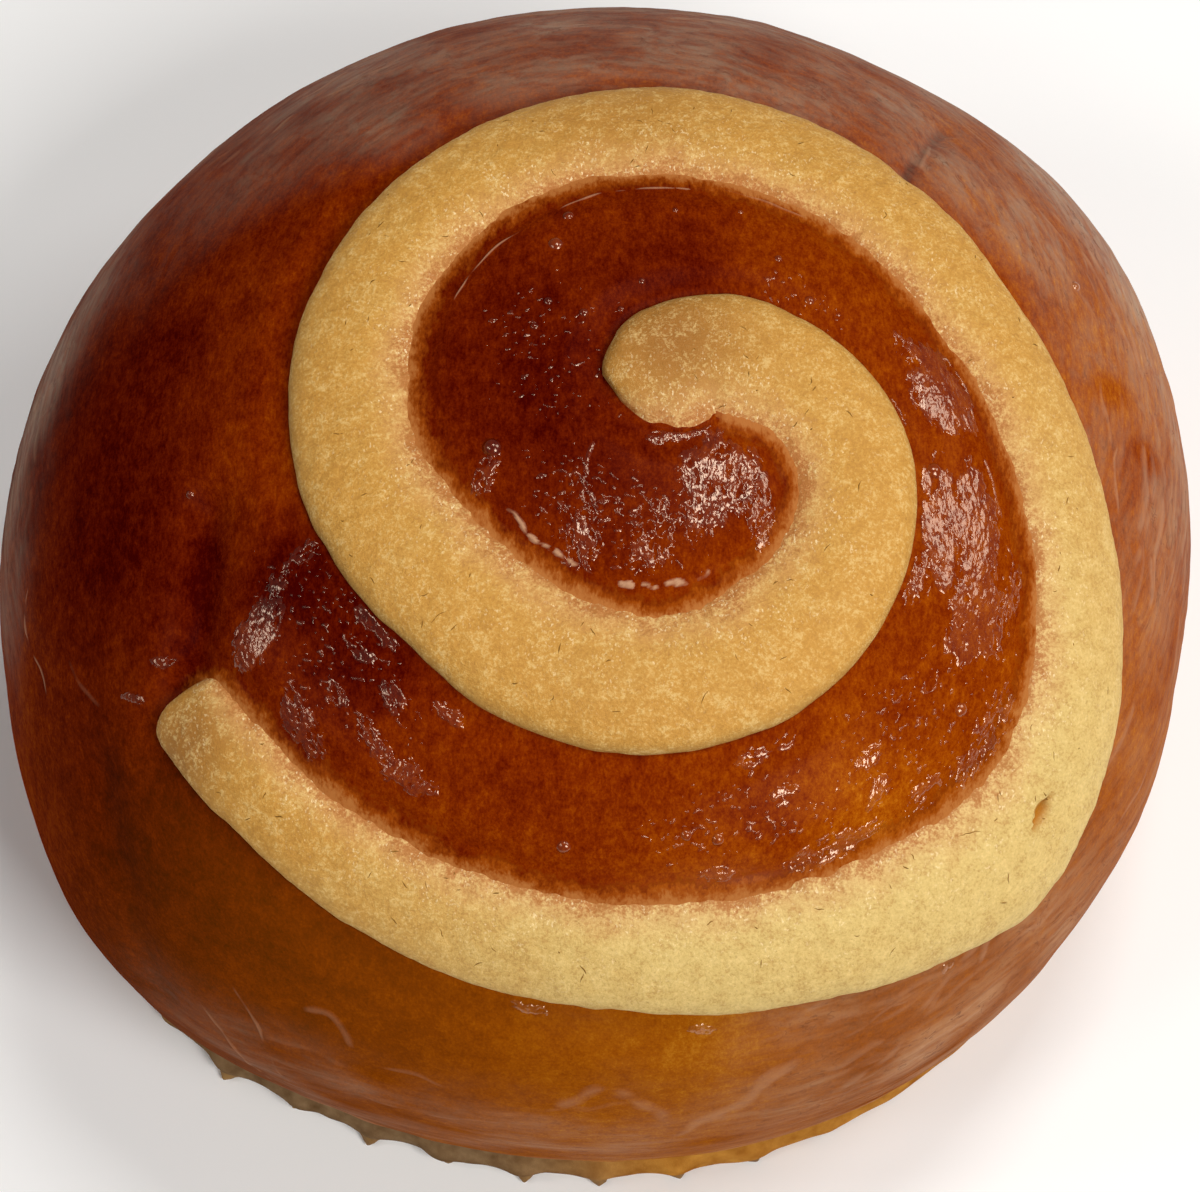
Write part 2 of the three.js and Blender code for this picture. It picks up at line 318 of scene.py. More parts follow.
# Wrinkled skin of the egg wash on the crown: plan x, y, half length, half width, turn of the
# length, wrinkle size, depth, and cover, which is how much of its patch the skin fills.
SKINS = [
    (8.8, -8.2, 5.0, 2.9, 84, 0.42, 0.070, 0.34),
    (12.6, -8.6, 4.6, 1.2, 96, 0.34, 0.070, 0.28),
    (8.3, -2.4, 1.6, 1.0, 60, 0.32, 0.060, 0.30),
    (6.4, -3.6, 2.4, 0.9, 14, 0.30, 0.060, 0.18),
    (-1.4, -11.2, 4.0, 2.0, 100, 0.34, 0.060, -0.02),
    (4.4, -12.4, 4.0, 2.4, 80, 0.34, 0.060, -0.10),
    (-8.8, -6.6, 2.4, 0.9, 60, 0.34, 0.060, 0.20),
    (27.7, 2.4, 4.4, 2.4, 112, 0.42, 0.060, 0.74),
    (25.0, 5.6, 2.0, 0.9, 110, 0.34, 0.060, 0.10),
    (24.2, -1.0, 1.8, 1.0, 100, 0.34, 0.060, 0.10),
    (30.6, -9.6, 6.4, 2.0, 92, 0.50, 0.080, 0.52),
    (27.4, -9.0, 6.0, 1.6, 90, 0.50, 0.080, 0.42),
    (26.2, -13.4, 3.6, 1.2, 62, 0.46, 0.070, 0.25),
    (30.4, -16.4, 4.0, 2.6, 78, 0.50, 0.080, 0.42),
    (33.6, -13.4, 3.0, 0.9, 80, 0.44, 0.065, 0.15),
    (31.8, -24.4, 3.6, 1.8, 60, 0.46, 0.060, 0.10),
    (-27.0, -18.2, 3.0, 1.7, 55, 0.40, 0.060, 0.48),
    (-26.0, -15.2, 2.0, 0.8, 60, 0.36, 0.060, 0.05),
    (-23.2, -12.2, 2.6, 1.2, 40, 0.36, 0.060, 0.00),
    (-17.8, -18.4, 2.8, 0.9, -55, 0.36, 0.060, 0.36),
    (-18.6, -20.8, 1.8, 0.9, -50, 0.36, 0.060, 0.00),
    (-23.4, -25.6, 3.4, 1.4, -62, 0.38, 0.060, 0.32),
    (-20.8, -23.7, 1.6, 0.8, -50, 0.36, 0.060, 0.10),
    (-17.8, -27.2, 2.4, 0.9, -60, 0.38, 0.060, 0.26),
    (-16.2, -24.4, 1.6, 1.1, -60, 0.38, 0.060, 0.40),
    (-14.6, -30.2, 2.8, 1.3, -25, 0.38, 0.060, 0.36),
    (-11.7, -25.9, 1.8, 0.7, -40, 0.36, 0.060, 0.42),
    (12.3, -28.9, 1.6, 0.7, 20, 0.38, 0.060, 0.40),
    (14.9, -27.7, 1.2, 0.6, 25, 0.38, 0.060, 0.30),
    (14.6, -31.2, 1.3, 0.5, 5, 0.38, 0.060, 0.20),
    (21.2, -28.2, 1.4, 0.7, 40, 0.38, 0.060, 0.30),
    (22.2, -30.6, 2.0, 0.8, 60, 0.38, 0.060, 0.25),
    (26.2, -30.2, 3.6, 1.2, 36, 0.38, 0.060, 0.00),
    (18.4, -34.9, 4.6, 1.1, 20, 0.38, 0.060, 0.25),
    (9.2, -37.2, 1.9, 0.8, 0, 0.38, 0.060, 0.25),
    (30.4, -26.8, 3.0, 1.4, 50, 0.42, 0.060, -0.06),
]
# The same on the wall: azimuth, height, then as above, with the turn from level.
WALL_SKINS = [
    (-97.0, 40.8, 1.5, 0.6, -10, 0.38, 0.08, 0.30),
    (-80.0, 38.9, 1.5, 0.6, -10, 0.38, 0.08, 0.20),
    (-151.5, 48.2, 1.4, 0.6, 60, 0.36, 0.06, 0.15),
    (-150.5, 45.8, 1.5, 0.6, 55, 0.36, 0.06, 0.20),
    (-76.0, 2.6, 3.4, 1.0, 0, 0.42, 0.08, 0.20),
    (-55.5, 36.0, 2.2, 0.7, 30, 0.40, 0.08, 0.10),
]
# Fields of tiny specks: plan x, y, half length, half width, turn, speck size, height, cover.
SPECKS = [
    (1.0, -10.0, 8.0, 4.6, -25, 0.30, 0.06, -0.17),
    (-3.0, 4.0, 8.0, 8.0, 0, 0.26, 0.06, -0.54),
    (17.0, 7.0, 7.0, 3.4, -50, 0.26, 0.06, -0.40),
    (24.0, -26.0, 9.0, 5.0, 40, 0.26, 0.06, -0.40),
    (12.0, -33.0, 9.0, 3.4, 10, 0.28, 0.06, -0.24),
    (-21.0, -20.0, 11.0, 5.0, -50, 0.26, 0.06, -0.40),
    (30.0, -12.0, 10.0, 4.0, 95, 0.28, 0.06, -0.20),
]
# Bubbles and pimples: plan x, y, radius, height.
PIMPLES = [
    (-8.4, -4.8, 0.80, 0.55), (-3.4, 13.7, 0.62, 0.26), (-4.0, 8.2, 0.36, 0.18),
    (-1.1, 7.1, 0.42, 0.22), (-5.1, 5.9, 0.36, 0.18), (1.9, 7.6, 0.30, 0.15),
    (6.4, 17.2, 0.25, 0.14), (11.8, 17.5, 0.25, 0.14), (17.3, 9.1, 0.42, 0.20),
    (3.6, 10.1, 0.28, 0.14), (27.2, -4.8, 0.62, 0.34), (9.4, -34.8, 0.50, 0.28),
    (-2.7, -35.5, 0.55, 0.26), (6.9, -34.6, 0.45, 0.20), (14.6, -33.4, 0.30, 0.18),
    (40.6, 16.5, 0.50, 0.30), (-33.4, -5.6, 0.36, 0.22), (14.8, 12.8, 0.34, 0.18),
    (-2.4, 16.6, 0.45, 0.20), (21.4, 3.2, 0.32, 0.16), (29.0, -23.6, 0.60, 0.26),
]
# Fine raised creases on the crown: half width, height, paleness and the path in the plan.
CREASES = [
    (0.10, 0.09, 0.6, [(-11.6, 8.2), (-11.0, 10.3), (-9.7, 12.4), (-7.9, 14.2), (-5.9, 15.8)]),
    (0.10, 0.07, 0.5, [(-5.9, 15.8), (-2.0, 18.0), (2.2, 19.4), (6.0, 19.9), (9.7, 19.9)]),
    (0.12, 0.08, 0.3, [(9.7, 19.9), (14.0, 19.1), (17.6, 17.6)]),
    (0.24, 0.12, 1.0, [(-7.4, -9.6), (-5.2, -12.1), (-3.2, -13.9), (0.0, -15.5)]),
    (0.28, 0.12, 1.0, [(0.6, -15.7), (3.6, -16.2), (6.8, -16.0), (9.5, -15.0)]),
]
# The same where the glaze is glossy.
GLOSSY_CREASES = [
    (0.14, 0.10, 0.0, [(29.3, 4.8), (30.1, 3.4), (30.7, 1.4), (31.1, -0.8)]),
    (0.14, 0.10, 0.0, [(31.5, -2.8), (32.3, -5.6), (32.9, -8.0)]),
    (0.18, 0.12, 0.0, [(-0.2, -4.4), (-0.7, -5.2), (-0.9, -6.4), (-0.6, -7.6)]),
    (0.12, 0.09, 0.0, [(27.6, 4.2), (28.4, 2.0), (29.0, -0.4)]),
]
# The same on the wall, with the path as azimuth and height.
WALL_CREASES = [
    (0.14, 0.10, 0.5, [(-171, 37.6), (-167, 36.3), (-161, 37.9), (-157, 37.6)]),
    (0.26, 0.08, 0.1, [(-160, 41.5), (-156, 42.2), (-152, 43.4)]),
    (0.18, 0.12, 0.3, [(-126, 35.6), (-123, 32.8), (-121, 28.5), (-119, 20.5)]),
    (0.44, 0.12, 0.2, [(-119, 35.7), (-116, 36.2), (-114, 34.8), (-113, 33.0)]),
    (0.22, 0.12, 0.3, [(-129, 31.5), (-125, 27.5), (-122, 19.7), (-121, 13.0)]),
    (0.18, 0.12, 0.3, [(-122, 13.0), (-116, 15.0), (-111, 12.0), (-107, 9.6)]),
    (0.18, 0.12, 0.3, [(-118, 9.0), (-112, 11.0), (-106, 9.4), (-100, 10.6)]),
    (0.90, 0.14, 0.3, [(-95, 29.7), (-92, 32.5), (-89, 33.5), (-86, 31.9), (-82, 27.0)]),
    (0.80, 0.14, 0.3, [(-84, 24.6), (-81, 28.2), (-77, 30.3), (-74, 32.9), (-70, 34.0)]),
    (0.60, 0.13, 0.3, [(-55, 36.2), (-57, 33.7), (-61, 30.9), (-66, 28.7), (-72, 25.7)]),
    (0.50, 0.13, 0.3, [(-47, 36.9), (-51, 35.9), (-55, 34.9), (-59, 33.3), (-64, 31.3)]),
    (0.45, 0.13, 0.3, [(-38, 37.6), (-43, 36.7), (-49, 36.0), (-53, 33.0)]),
    (0.26, 0.16, 0.3, [(41.6, 51.0), (44.6, 48.4), (45.6, 45.6), (42.0, 44.9), (37.6, 46.6)]),
    (0.50, 0.14, 0.3, [(36, 43.3), (30, 42.6), (25, 41.7), (19, 40.8), (12, 40.0)]),
    (0.24, 0.14, 0.4, [(-100, 6.2), (-92, 6.6), (-84, 6.8), (-76, 6.6), (-66, 6.2)]),
]
# Flow lines that run round the wall: azimuths, heights, count, length in degrees, paleness. The
# pale crests of the last row, along the rim at the upper right, are painted highlights.
FLOWS = [
    ((-38, 50), (22, 47), 90, (6, 18), 0.30),
    ((-78, -40), (14, 38), 60, (6, 16), 0.20),
    ((-128, -80), (10, 32), 30, (5, 12), 0.14),
    ((55, 140), (22, 45), 80, (7, 18), 0.24),
    ((146, 190), (27, 38), 50, (4, 10), 0.12),
    ((8, 78), (23, 33), 36, (4, 11), 0.50),
]


# ------------------------------------------------------------------ the detailed crust

CRUST_COLUMNS = 720
CROWN_ROWS = 190
WALL_ROWS = 44
FOOT_ROWS = 14
BASE_ROWS = 12
BASE_HOLE = 2.0  # radius of the first ring, round the base's middle point
TOP_HOLE = 0.2  # radius of the last ring, under the top point
BASE_HOLLOW = 0.25


def even_rows(section, count):
    """Points evenly spaced along a section of (radius, height), its last one left out."""
    section = np.asarray(section, float)
    travelled = distances_along(section)
    along = np.linspace(0.0, travelled[-1], count, endpoint=False)
    return points_along(section, travelled, along)


def crust_section():
    """The bun's section from the middle of its base, round the foot, to the crown's top."""
    base = even_rows([(BASE_HOLE, 0.0), FOOT[0]], BASE_ROWS)
    foot_curve = smooth_curve([*FOOT, (TUCK_RADIUS, TUCK_HEIGHT)], 8)
    foot = even_rows(foot_curve, FOOT_ROWS)
    wall_heights = np.linspace(TUCK_HEIGHT, WIDEST_HEIGHT, 200)
    wall_radii = BUN_RADIUS * share_at_height(wall_heights)
    wall = even_rows(np.stack([wall_radii, wall_heights], -1), WALL_ROWS)
    climb = np.linspace(0.0, np.pi / 2.0, 2000)
    heights = WIDEST_HEIGHT + (BUN_HEIGHT - WIDEST_HEIGHT) * np.sin(climb)
    crown_curve = np.stack([BUN_RADIUS * share_at_height(heights), heights], -1)
    crown = even_rows(crown_curve[crown_curve[:, 0] > TOP_HOLE], CROWN_ROWS)
    return np.vstack([base, foot, wall, crown])


def grid_normals(points):
    """Outward normals of a grid of points, whose columns close on themselves."""
    up = np.gradient(points, axis=0)
    round_ = np.roll(points, -1, axis=1) - np.roll(points, 1, axis=1)
    return unit(np.cross(round_, up))


def foot_scallops(points):
    """The foot spreads a little toward each of its crumbs."""
    pitch = 360.0 / CRUMB_COUNT
    azimuth = azimuth_of(points) + 90.0
    away = (azimuth + pitch / 2.0) % pitch - pitch / 2.0
    away = np.radians(away) * TUCK_RADIUS
    low = 1.0 - smooth(points[:, 2], 1.8, 4.6)
    low *= 1.0 - 0.8 * hill(azimuth, 42.0, 30.0, 4)
    return low * (0.75 * hill(away, 0.0, 1.5) + 0.35 * lumps(points, 1.8, 15))


def crust_relief(points, gap, side):
    """Heights over the plain crust: its lumps, and how the dough meets the custard."""
    on_crown = smooth(points[:, 2], WIDEST_HEIGHT - 4.0, WIDEST_HEIGHT + 4.0)
    inner_side = smooth(-side, -1.0, 1.0) * smooth(gap, -0.3, 0.2)
    relief = lumpy(points, (0.10, 9.0, 11), (0.05, 3.4, 12), (0.012, 1.3, 13))

    # The dough rises softly between the turns and drops over a thin ledge by the custard.
    between = (gap > 0) * on_crown
    relief += 0.35 * between * smooth(gap, 0.6, 3.6)
    ledge = smooth(gap, 0.7, 1.1) * (1.0 - smooth(gap, 1.2, 2.4))
    relief -= 0.14 * inner_side * ledge * (0.7 + 0.9 * lumps(points, 2.6, 14))
    relief -= 0.10 * (side > 0) * on_crown * hill(gap, 0.0, 0.35)
    return relief + foot_scallops(points)


def shape_crust(points, normals, gap, side):
    """Plain points moved to the crust with its relief and folds."""
    standing = smooth(points[:, 2], 0.3, 2.4)
    relief = crust_relief(points, gap, side) * standing
    return points + pressed_in(points) + normals * relief[:, None]


# Darker or paler places on the crust: plan x, y, reach, and what each adds to the general bake.
# The spot at (-32.2, -14.5) deepens the painted shade along the first fold, and the one at (-42.5,
# -21.0) is a painted shadow just beside the custard's outer end.
BAKE_SPOTS = [
    (-7.0, 3.0, 12.0, 0.34), (6.0, 13.0, 8.0, 0.20), (0.0, -10.0, 8.0, 0.17),
    (11.0, -9.0, 5.0, 0.08), (-42.0, 6.0, 15.0, 0.38), (-40.0, -10.0, 7.0, 0.28),
    (-26.0, 30.0, 14.0, 0.18), (-24.5, -14.5, 5.0, 0.42), (-18.0, -21.0, 6.0, 0.42),
    (-5.0, -32.0, 9.0, 0.12), (12.0, -31.0, 7.0, 0.06), (21.0, -33.0, 6.0, -0.20),
    (29.0, -22.0, 7.0, -0.02), (28.0, 0.0, 8.0, 0.04), (-36.0, -32.0, 10.0, 0.36),
    (-24.0, -41.0, 9.0, 0.16), (2.0, -50.0, 12.0, -0.20), (10.0, -46.0, 5.0, -0.22),
    (44.0, 6.0, 6.0, -0.14), (36.0, 24.0, 16.0, -0.10), (0.0, 44.0, 20.0, 0.10),
    (46.0, -20.0, 13.0, -0.18), (30.0, -42.0, 9.0, -0.02), (50.0, 14.0, 8.0, -0.20),
    (-32.2, -14.5, 3.4, 0.10), (-42.5, -21.0, 6.0, 0.20),
]
GENERAL_BAKE = 0.64
# The painted shade along each broad fold: how much darker, how wide, and its first point.
FOLD_SHADES = [(0.22, 1.6, 1), (0.06, 2.0, 0), (0.36, 0.5, 0)]


def crust_bake_and_shade(points):
    """How dark the crust is, from 0, pale, to 1, deep red-brown: its bake, with painted shade
    along the folds.
    """
    bake = np.full(len(points), GENERAL_BAKE)
    for *place, more in BAKE_SPOTS:
        bake += more * dab(points, *place)
    for (more, width, first), (_, _, line) in zip(FOLD_SHADES, FOLD_LINES):
        bake += more * hill(line_distance(points, line[first:]), 0.0, width)
    bake -= 0.24 * (1.0 - smooth(points[:, 2], 6.0, 18.0))
    return bake + lumpy(points, (0.05, 7.0, 21), (0.04, 2.5, 22))


# The sheen is painted: a grey-tan reflection of the surroundings put into the crust's colour, with
# a little real coat gloss.
SHEEN_AZIMUTH = 34.0  # the middle of the dusky sheen
LEFT_SHEEN_AZIMUTH = 168.0
# Places without the painted sheen: plan x, y, reach.
CLEAR_SPOTS = [(43.2, 7.1, 2.0), (46.4, 2.6, 1.6), (6.0, -46.8, 5.0), (-14.0, -43.0, 7.0)]
# Places with more of the painted sheen: plan x, y, reach, and how much.
PAINTED_SHEEN_SPOTS = [(26.4, 35.0, 3.0, 0.35), (29.5, 33.8, 2.4, 0.25)]


def left_painted_sheen(points):
    """A streak of painted sheen along the wall at the left, standing for a grazing reflection."""
    away = turned(azimuth_of(points), LEFT_SHEEN_AZIMUTH)
    middle = 31.5 + 6.5 * hill(away, -12.0, 14.0) + 1.5 * lumps(points, 4.0, 52)
    return hill(away, 0.0, 24.0, 4) * hill(points[:, 2], middle, 5.0)


def sheen_painted_and_coat(points):
    """Where the crust has a sheen, outside the swirl and in a streak at the left: painted
    reflection in the colour, and a little real coat gloss.
    """
    azimuth, height = azimuth_of(points), points[:, 2]
    north = np.sin(np.radians(azimuth))
    front, far = smooth(north, -0.6, -0.95), smooth(north, 0.35, 0.9)
    sheen = smooth(np.cos(np.radians(azimuth - SHEEN_AZIMUTH)), -0.7, 0.1)
    sheen = np.maximum(sheen, 0.6 * smooth(height, 36.0, 26.0) * front)
    sheen *= np.maximum(front, 0.5 + 0.5 * smooth(height, 8.0, 26.0))
    edge = 36.0 - 9.0 * far + 7.0 * hill(azimuth, -42.0, 24.0, 4)
    outside = smooth(reach_of(points), edge, edge + 6.0 + 2.0 * far)
    sheen *= np.where(height > WIDEST_HEIGHT, outside, 1.0) * (1.0 - 0.1 * far)
    sheen *= 1.0 - 0.40 * hill(azimuth, -8.0, 30.0, 4)
    # The painted sheen grows toward the rim, where a grazing reflection falls.
    rim = hill(azimuth, SHEEN_AZIMUTH, 52.0, 4) + 0.3 * hill(azimuth, -54.0, 18.0, 4)
    rim *= smooth(height, 44.0, 36.0)
    sheen *= 1.0 + 0.8 * rim * smooth(height, 20.0, 30.0)
    for *place, more in PAINTED_SHEEN_SPOTS:
        sheen += more * dab(points, *place)
    for place in CLEAR_SPOTS:
        sheen *= 1.0 - 0.9 * dab(points, *place, 4)
    sheen = np.maximum(sheen, 1.2 * left_painted_sheen(points))
    flow = points * (0.55, 0.55, 1.0)
    return np.clip(sheen * (0.85 + (0.5 + 0.4 * front) * lumps(flow, 3.0, 51)), 0.0, 1.6)


def golden_front(points):
    """Where the crust is a more golden brown: the front of the wall."""
    return hill(azimuth_of(points), -82.0, 58.0, 4) * smooth(reach_of(points), 38.0, 46.0)


def tan_painted_sheen(points):
    """Where the painted sheen is tan and not grey: from the front round to the right."""
    return hill(azimuth_of(points), -48.0, 58.0, 4)


def bare_dough(points):
    """Where the egg wash didn't reach: the foot, the base and a skirt at the front left."""
    skirt = hill(azimuth_of(points), -112.0, 17.0, 4)
    edge = 5.0 + 5.0 * skirt + lumpy(points, (0.8, 5.0, 41), (0.5, 1.6, 42))
    soft = 0.6 + 1.0 * skirt
    return 1.0 - smooth(points[:, 2], edge - soft, edge + soft)


def pale_skirt(points):
    """1 where the bare foot is greyish beige, at the front left, and 0 where it is amber."""
    return smooth(reach_of(points), 43.0, 48.0) * hill(azimuth_of(points), -116.0, 27.0, 6)


def crust_marks(points, gap, side):
    """What the crust's finish reads at each plain point."""
    return {
        # bake: the crust's bake, with painted shade along the folds and at two spots
        "bake": crust_bake_and_shade(points),
        # sheen: painted reflection in the colour, and the real coat's weight
        "sheen": sheen_painted_and_coat(points),
        "golden": golden_front(points),
        "tan": tan_painted_sheen(points),
        "bare": bare_dough(points),
        "skirt": pale_skirt(points),
        "gap": gap,
        "side": side,
    }


OFF_BAND = 30.0  # the gap given to the wall


def around_band(points):
    """beside_band for points of the crust, with the wall far from the band."""
    gap, side = beside_band(points[:, 0], points[:, 1])
    off_crown = points[:, 2] < WIDEST_HEIGHT
    return np.where(off_crown, OFF_BAND, gap), np.where(off_crown, 1.0, side)


def make_mesh(name, points, faces, marks, places=None):
    """A smooth mesh from millimetre points, with its marks kept on the vertices."""
    mesh = bpy.data.meshes.new(name)
    mesh.from_pydata(((points - MIDDLE) * MM).tolist(), [], faces)
    mesh.polygons.foreach_set("use_smooth", [True] * len(mesh.polygons))
    for mark, values in marks.items():
        layer = mesh.attributes.new(mark, "FLOAT", "POINT")
        layer.data.foreach_set("value", np.asarray(values, np.float32))
    if places is not None:
        layer = mesh.uv_layers.new(name="OFBake")
        layer.uv.foreach_set("vector", places.astype(np.float32).ravel())
    mesh.update()
    return mesh


def ring_faces(rows, columns):
    """Faces over a stack of rings whose points are numbered row by row."""
    row, column = np.meshgrid(np.arange(rows - 1), np.arange(columns), indexing="ij")
    row, column = row.ravel(), column.ravel()
    after = (column + 1) % columns
    corners = [row * columns + column, row * columns + after]
    corners += [(row + 1) * columns + after, (row + 1) * columns + column]
    return np.stack(corners, -1)


def closed_faces(rows, columns):
    """The ring faces, and triangles from the two end rings to tips numbered after the rings."""
    count = rows * columns
    column = np.arange(columns)
    after = (column + 1) % columns
    first = np.stack([after, column, np.full(columns, count)], -1)
    last = np.stack([column, after, np.full(columns, columns + 1)], -1) + count - columns
    return ring_faces(rows, columns), np.vstack([first, last])


def with_tips(marks):
    """Marks with two more values each, for the tips at both ends."""
    return {name: np.append(values, [values[0], values[-1]]) for name, values in marks.items()}


class Part:
    """A shown piece, on the root body."""

    def __init__(self, name, mesh, finish, node, slot):
        self.thing = bpy.data.objects.new(name, mesh)
        bpy.context.scene.collection.objects.link(self.thing)
        self.thing.data.materials.append(finish)
        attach(self.thing, "root")
        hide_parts(node)


# Discs of the bake's map, as middle and radius: the crown with the wall, and the base.
CROWN_DISC = (0.40, 0.39)
BASE_DISC = (0.89, 0.10)


def disc_places(quads, triangles, rows):
    """Where each face corner lies on the bake's map: the crown as a disc, the base beside it."""
    row = np.arange(rows)
    crown_reach = CROWN_DISC[1] * (rows - 1 - row) / (rows - 1 - BASE_ROWS)
    base_reach = BASE_DISC[1] * (row + 1.0) / (BASE_ROWS + 1.0)

    def spots(corners, is_base):
        place = np.minimum(corners // CRUST_COLUMNS, rows - 1)
        reach = np.where(is_base, base_reach[place], crown_reach[place])
        reach = np.where(corners >= rows * CRUST_COLUMNS, 0.0, reach)
        turn = 2.0 * np.pi * (corners % CRUST_COLUMNS) / CRUST_COLUMNS
        middle = np.where(is_base, BASE_DISC[0], CROWN_DISC[0])
        around = [middle + reach * np.cos(turn), middle + reach * np.sin(turn)]
        return np.stack(around, -1).reshape(-1, 2)

    on_base = quads[:, :1] // CRUST_COLUMNS < BASE_ROWS
    ends_on_base = triangles[:, :1] < CRUST_COLUMNS
    return np.concatenate([spots(quads, on_base), spots(triangles, ends_on_base)])


def build_crust():
    """The bun from its base to its crown, with all its relief."""
    section = crust_section()
    azimuth = np.arange(CRUST_COLUMNS) * 360.0 / CRUST_COLUMNS
    grid = crust_point(azimuth[None, :], section[:, :1], section[:, 1:])
    normals = grid_normals(grid).reshape(-1, 3)
    points = grid.reshape(-1, 3)
    gap, side = around_band(points)
    shaped = shape_crust(points, normals, gap, side)

    base = points[: BASE_ROWS * CRUST_COLUMNS]
    hollow = BASE_HOLLOW * smooth(reach_of(base), 49.0, 44.0)
    hollow *= 0.5 + 0.5 * lumps(base, 6.0, 61)
    shaped[: len(base), 2] += hollow

    tips = [(0.0, 0.0, hollow[0]), (0.0, 0.0, shaped[-CRUST_COLUMNS:, 2].mean())]
    quads, triangles = closed_faces(len(section), CRUST_COLUMNS)
    places = disc_places(quads, triangles, len(section))
    faces = quads.tolist() + triangles.tolist()
    marks = with_tips(crust_marks(points, gap, side))
    return make_mesh("crust", np.vstack([shaped, tips]), faces, marks, places)


# ------------------------------------------------------------------ the glaze's skin

BURIED = -0.08  # how deep the skin dives under the crust where it doesn't show
FILM = 0.06  # how far its flat film stands over the crust
HIDDEN = -0.03  # faces whose corners all lie deeper than this are left out
SKIN_STEP = 0.13
CREASE_STEP = 0.24
WALL_PROBE = 0.1


def lay_on_crust(spots, on_wall):
    """The plain crust's points and normals: level with spots on the wall, else over them."""
    if not on_wall:
        x, y = spots[:, 0], spots[:, 1]
        return np.stack([x, y, crown_height(x, y)], -1), crown_normal(x, y)
    azimuth = azimuth_of(spots)
    height = np.clip(spots[:, 2], 0.4, BUN_HEIGHT - 2.0)
    around = surface_point(azimuth + WALL_PROBE, height)
    around = around - surface_point(azimuth - WALL_PROBE, height)
    up = surface_point(azimuth, height + WALL_PROBE) - surface_point(azimuth, height - WALL_PROBE)
    return surface_point(azimuth, height), unit(np.cross(around, up))


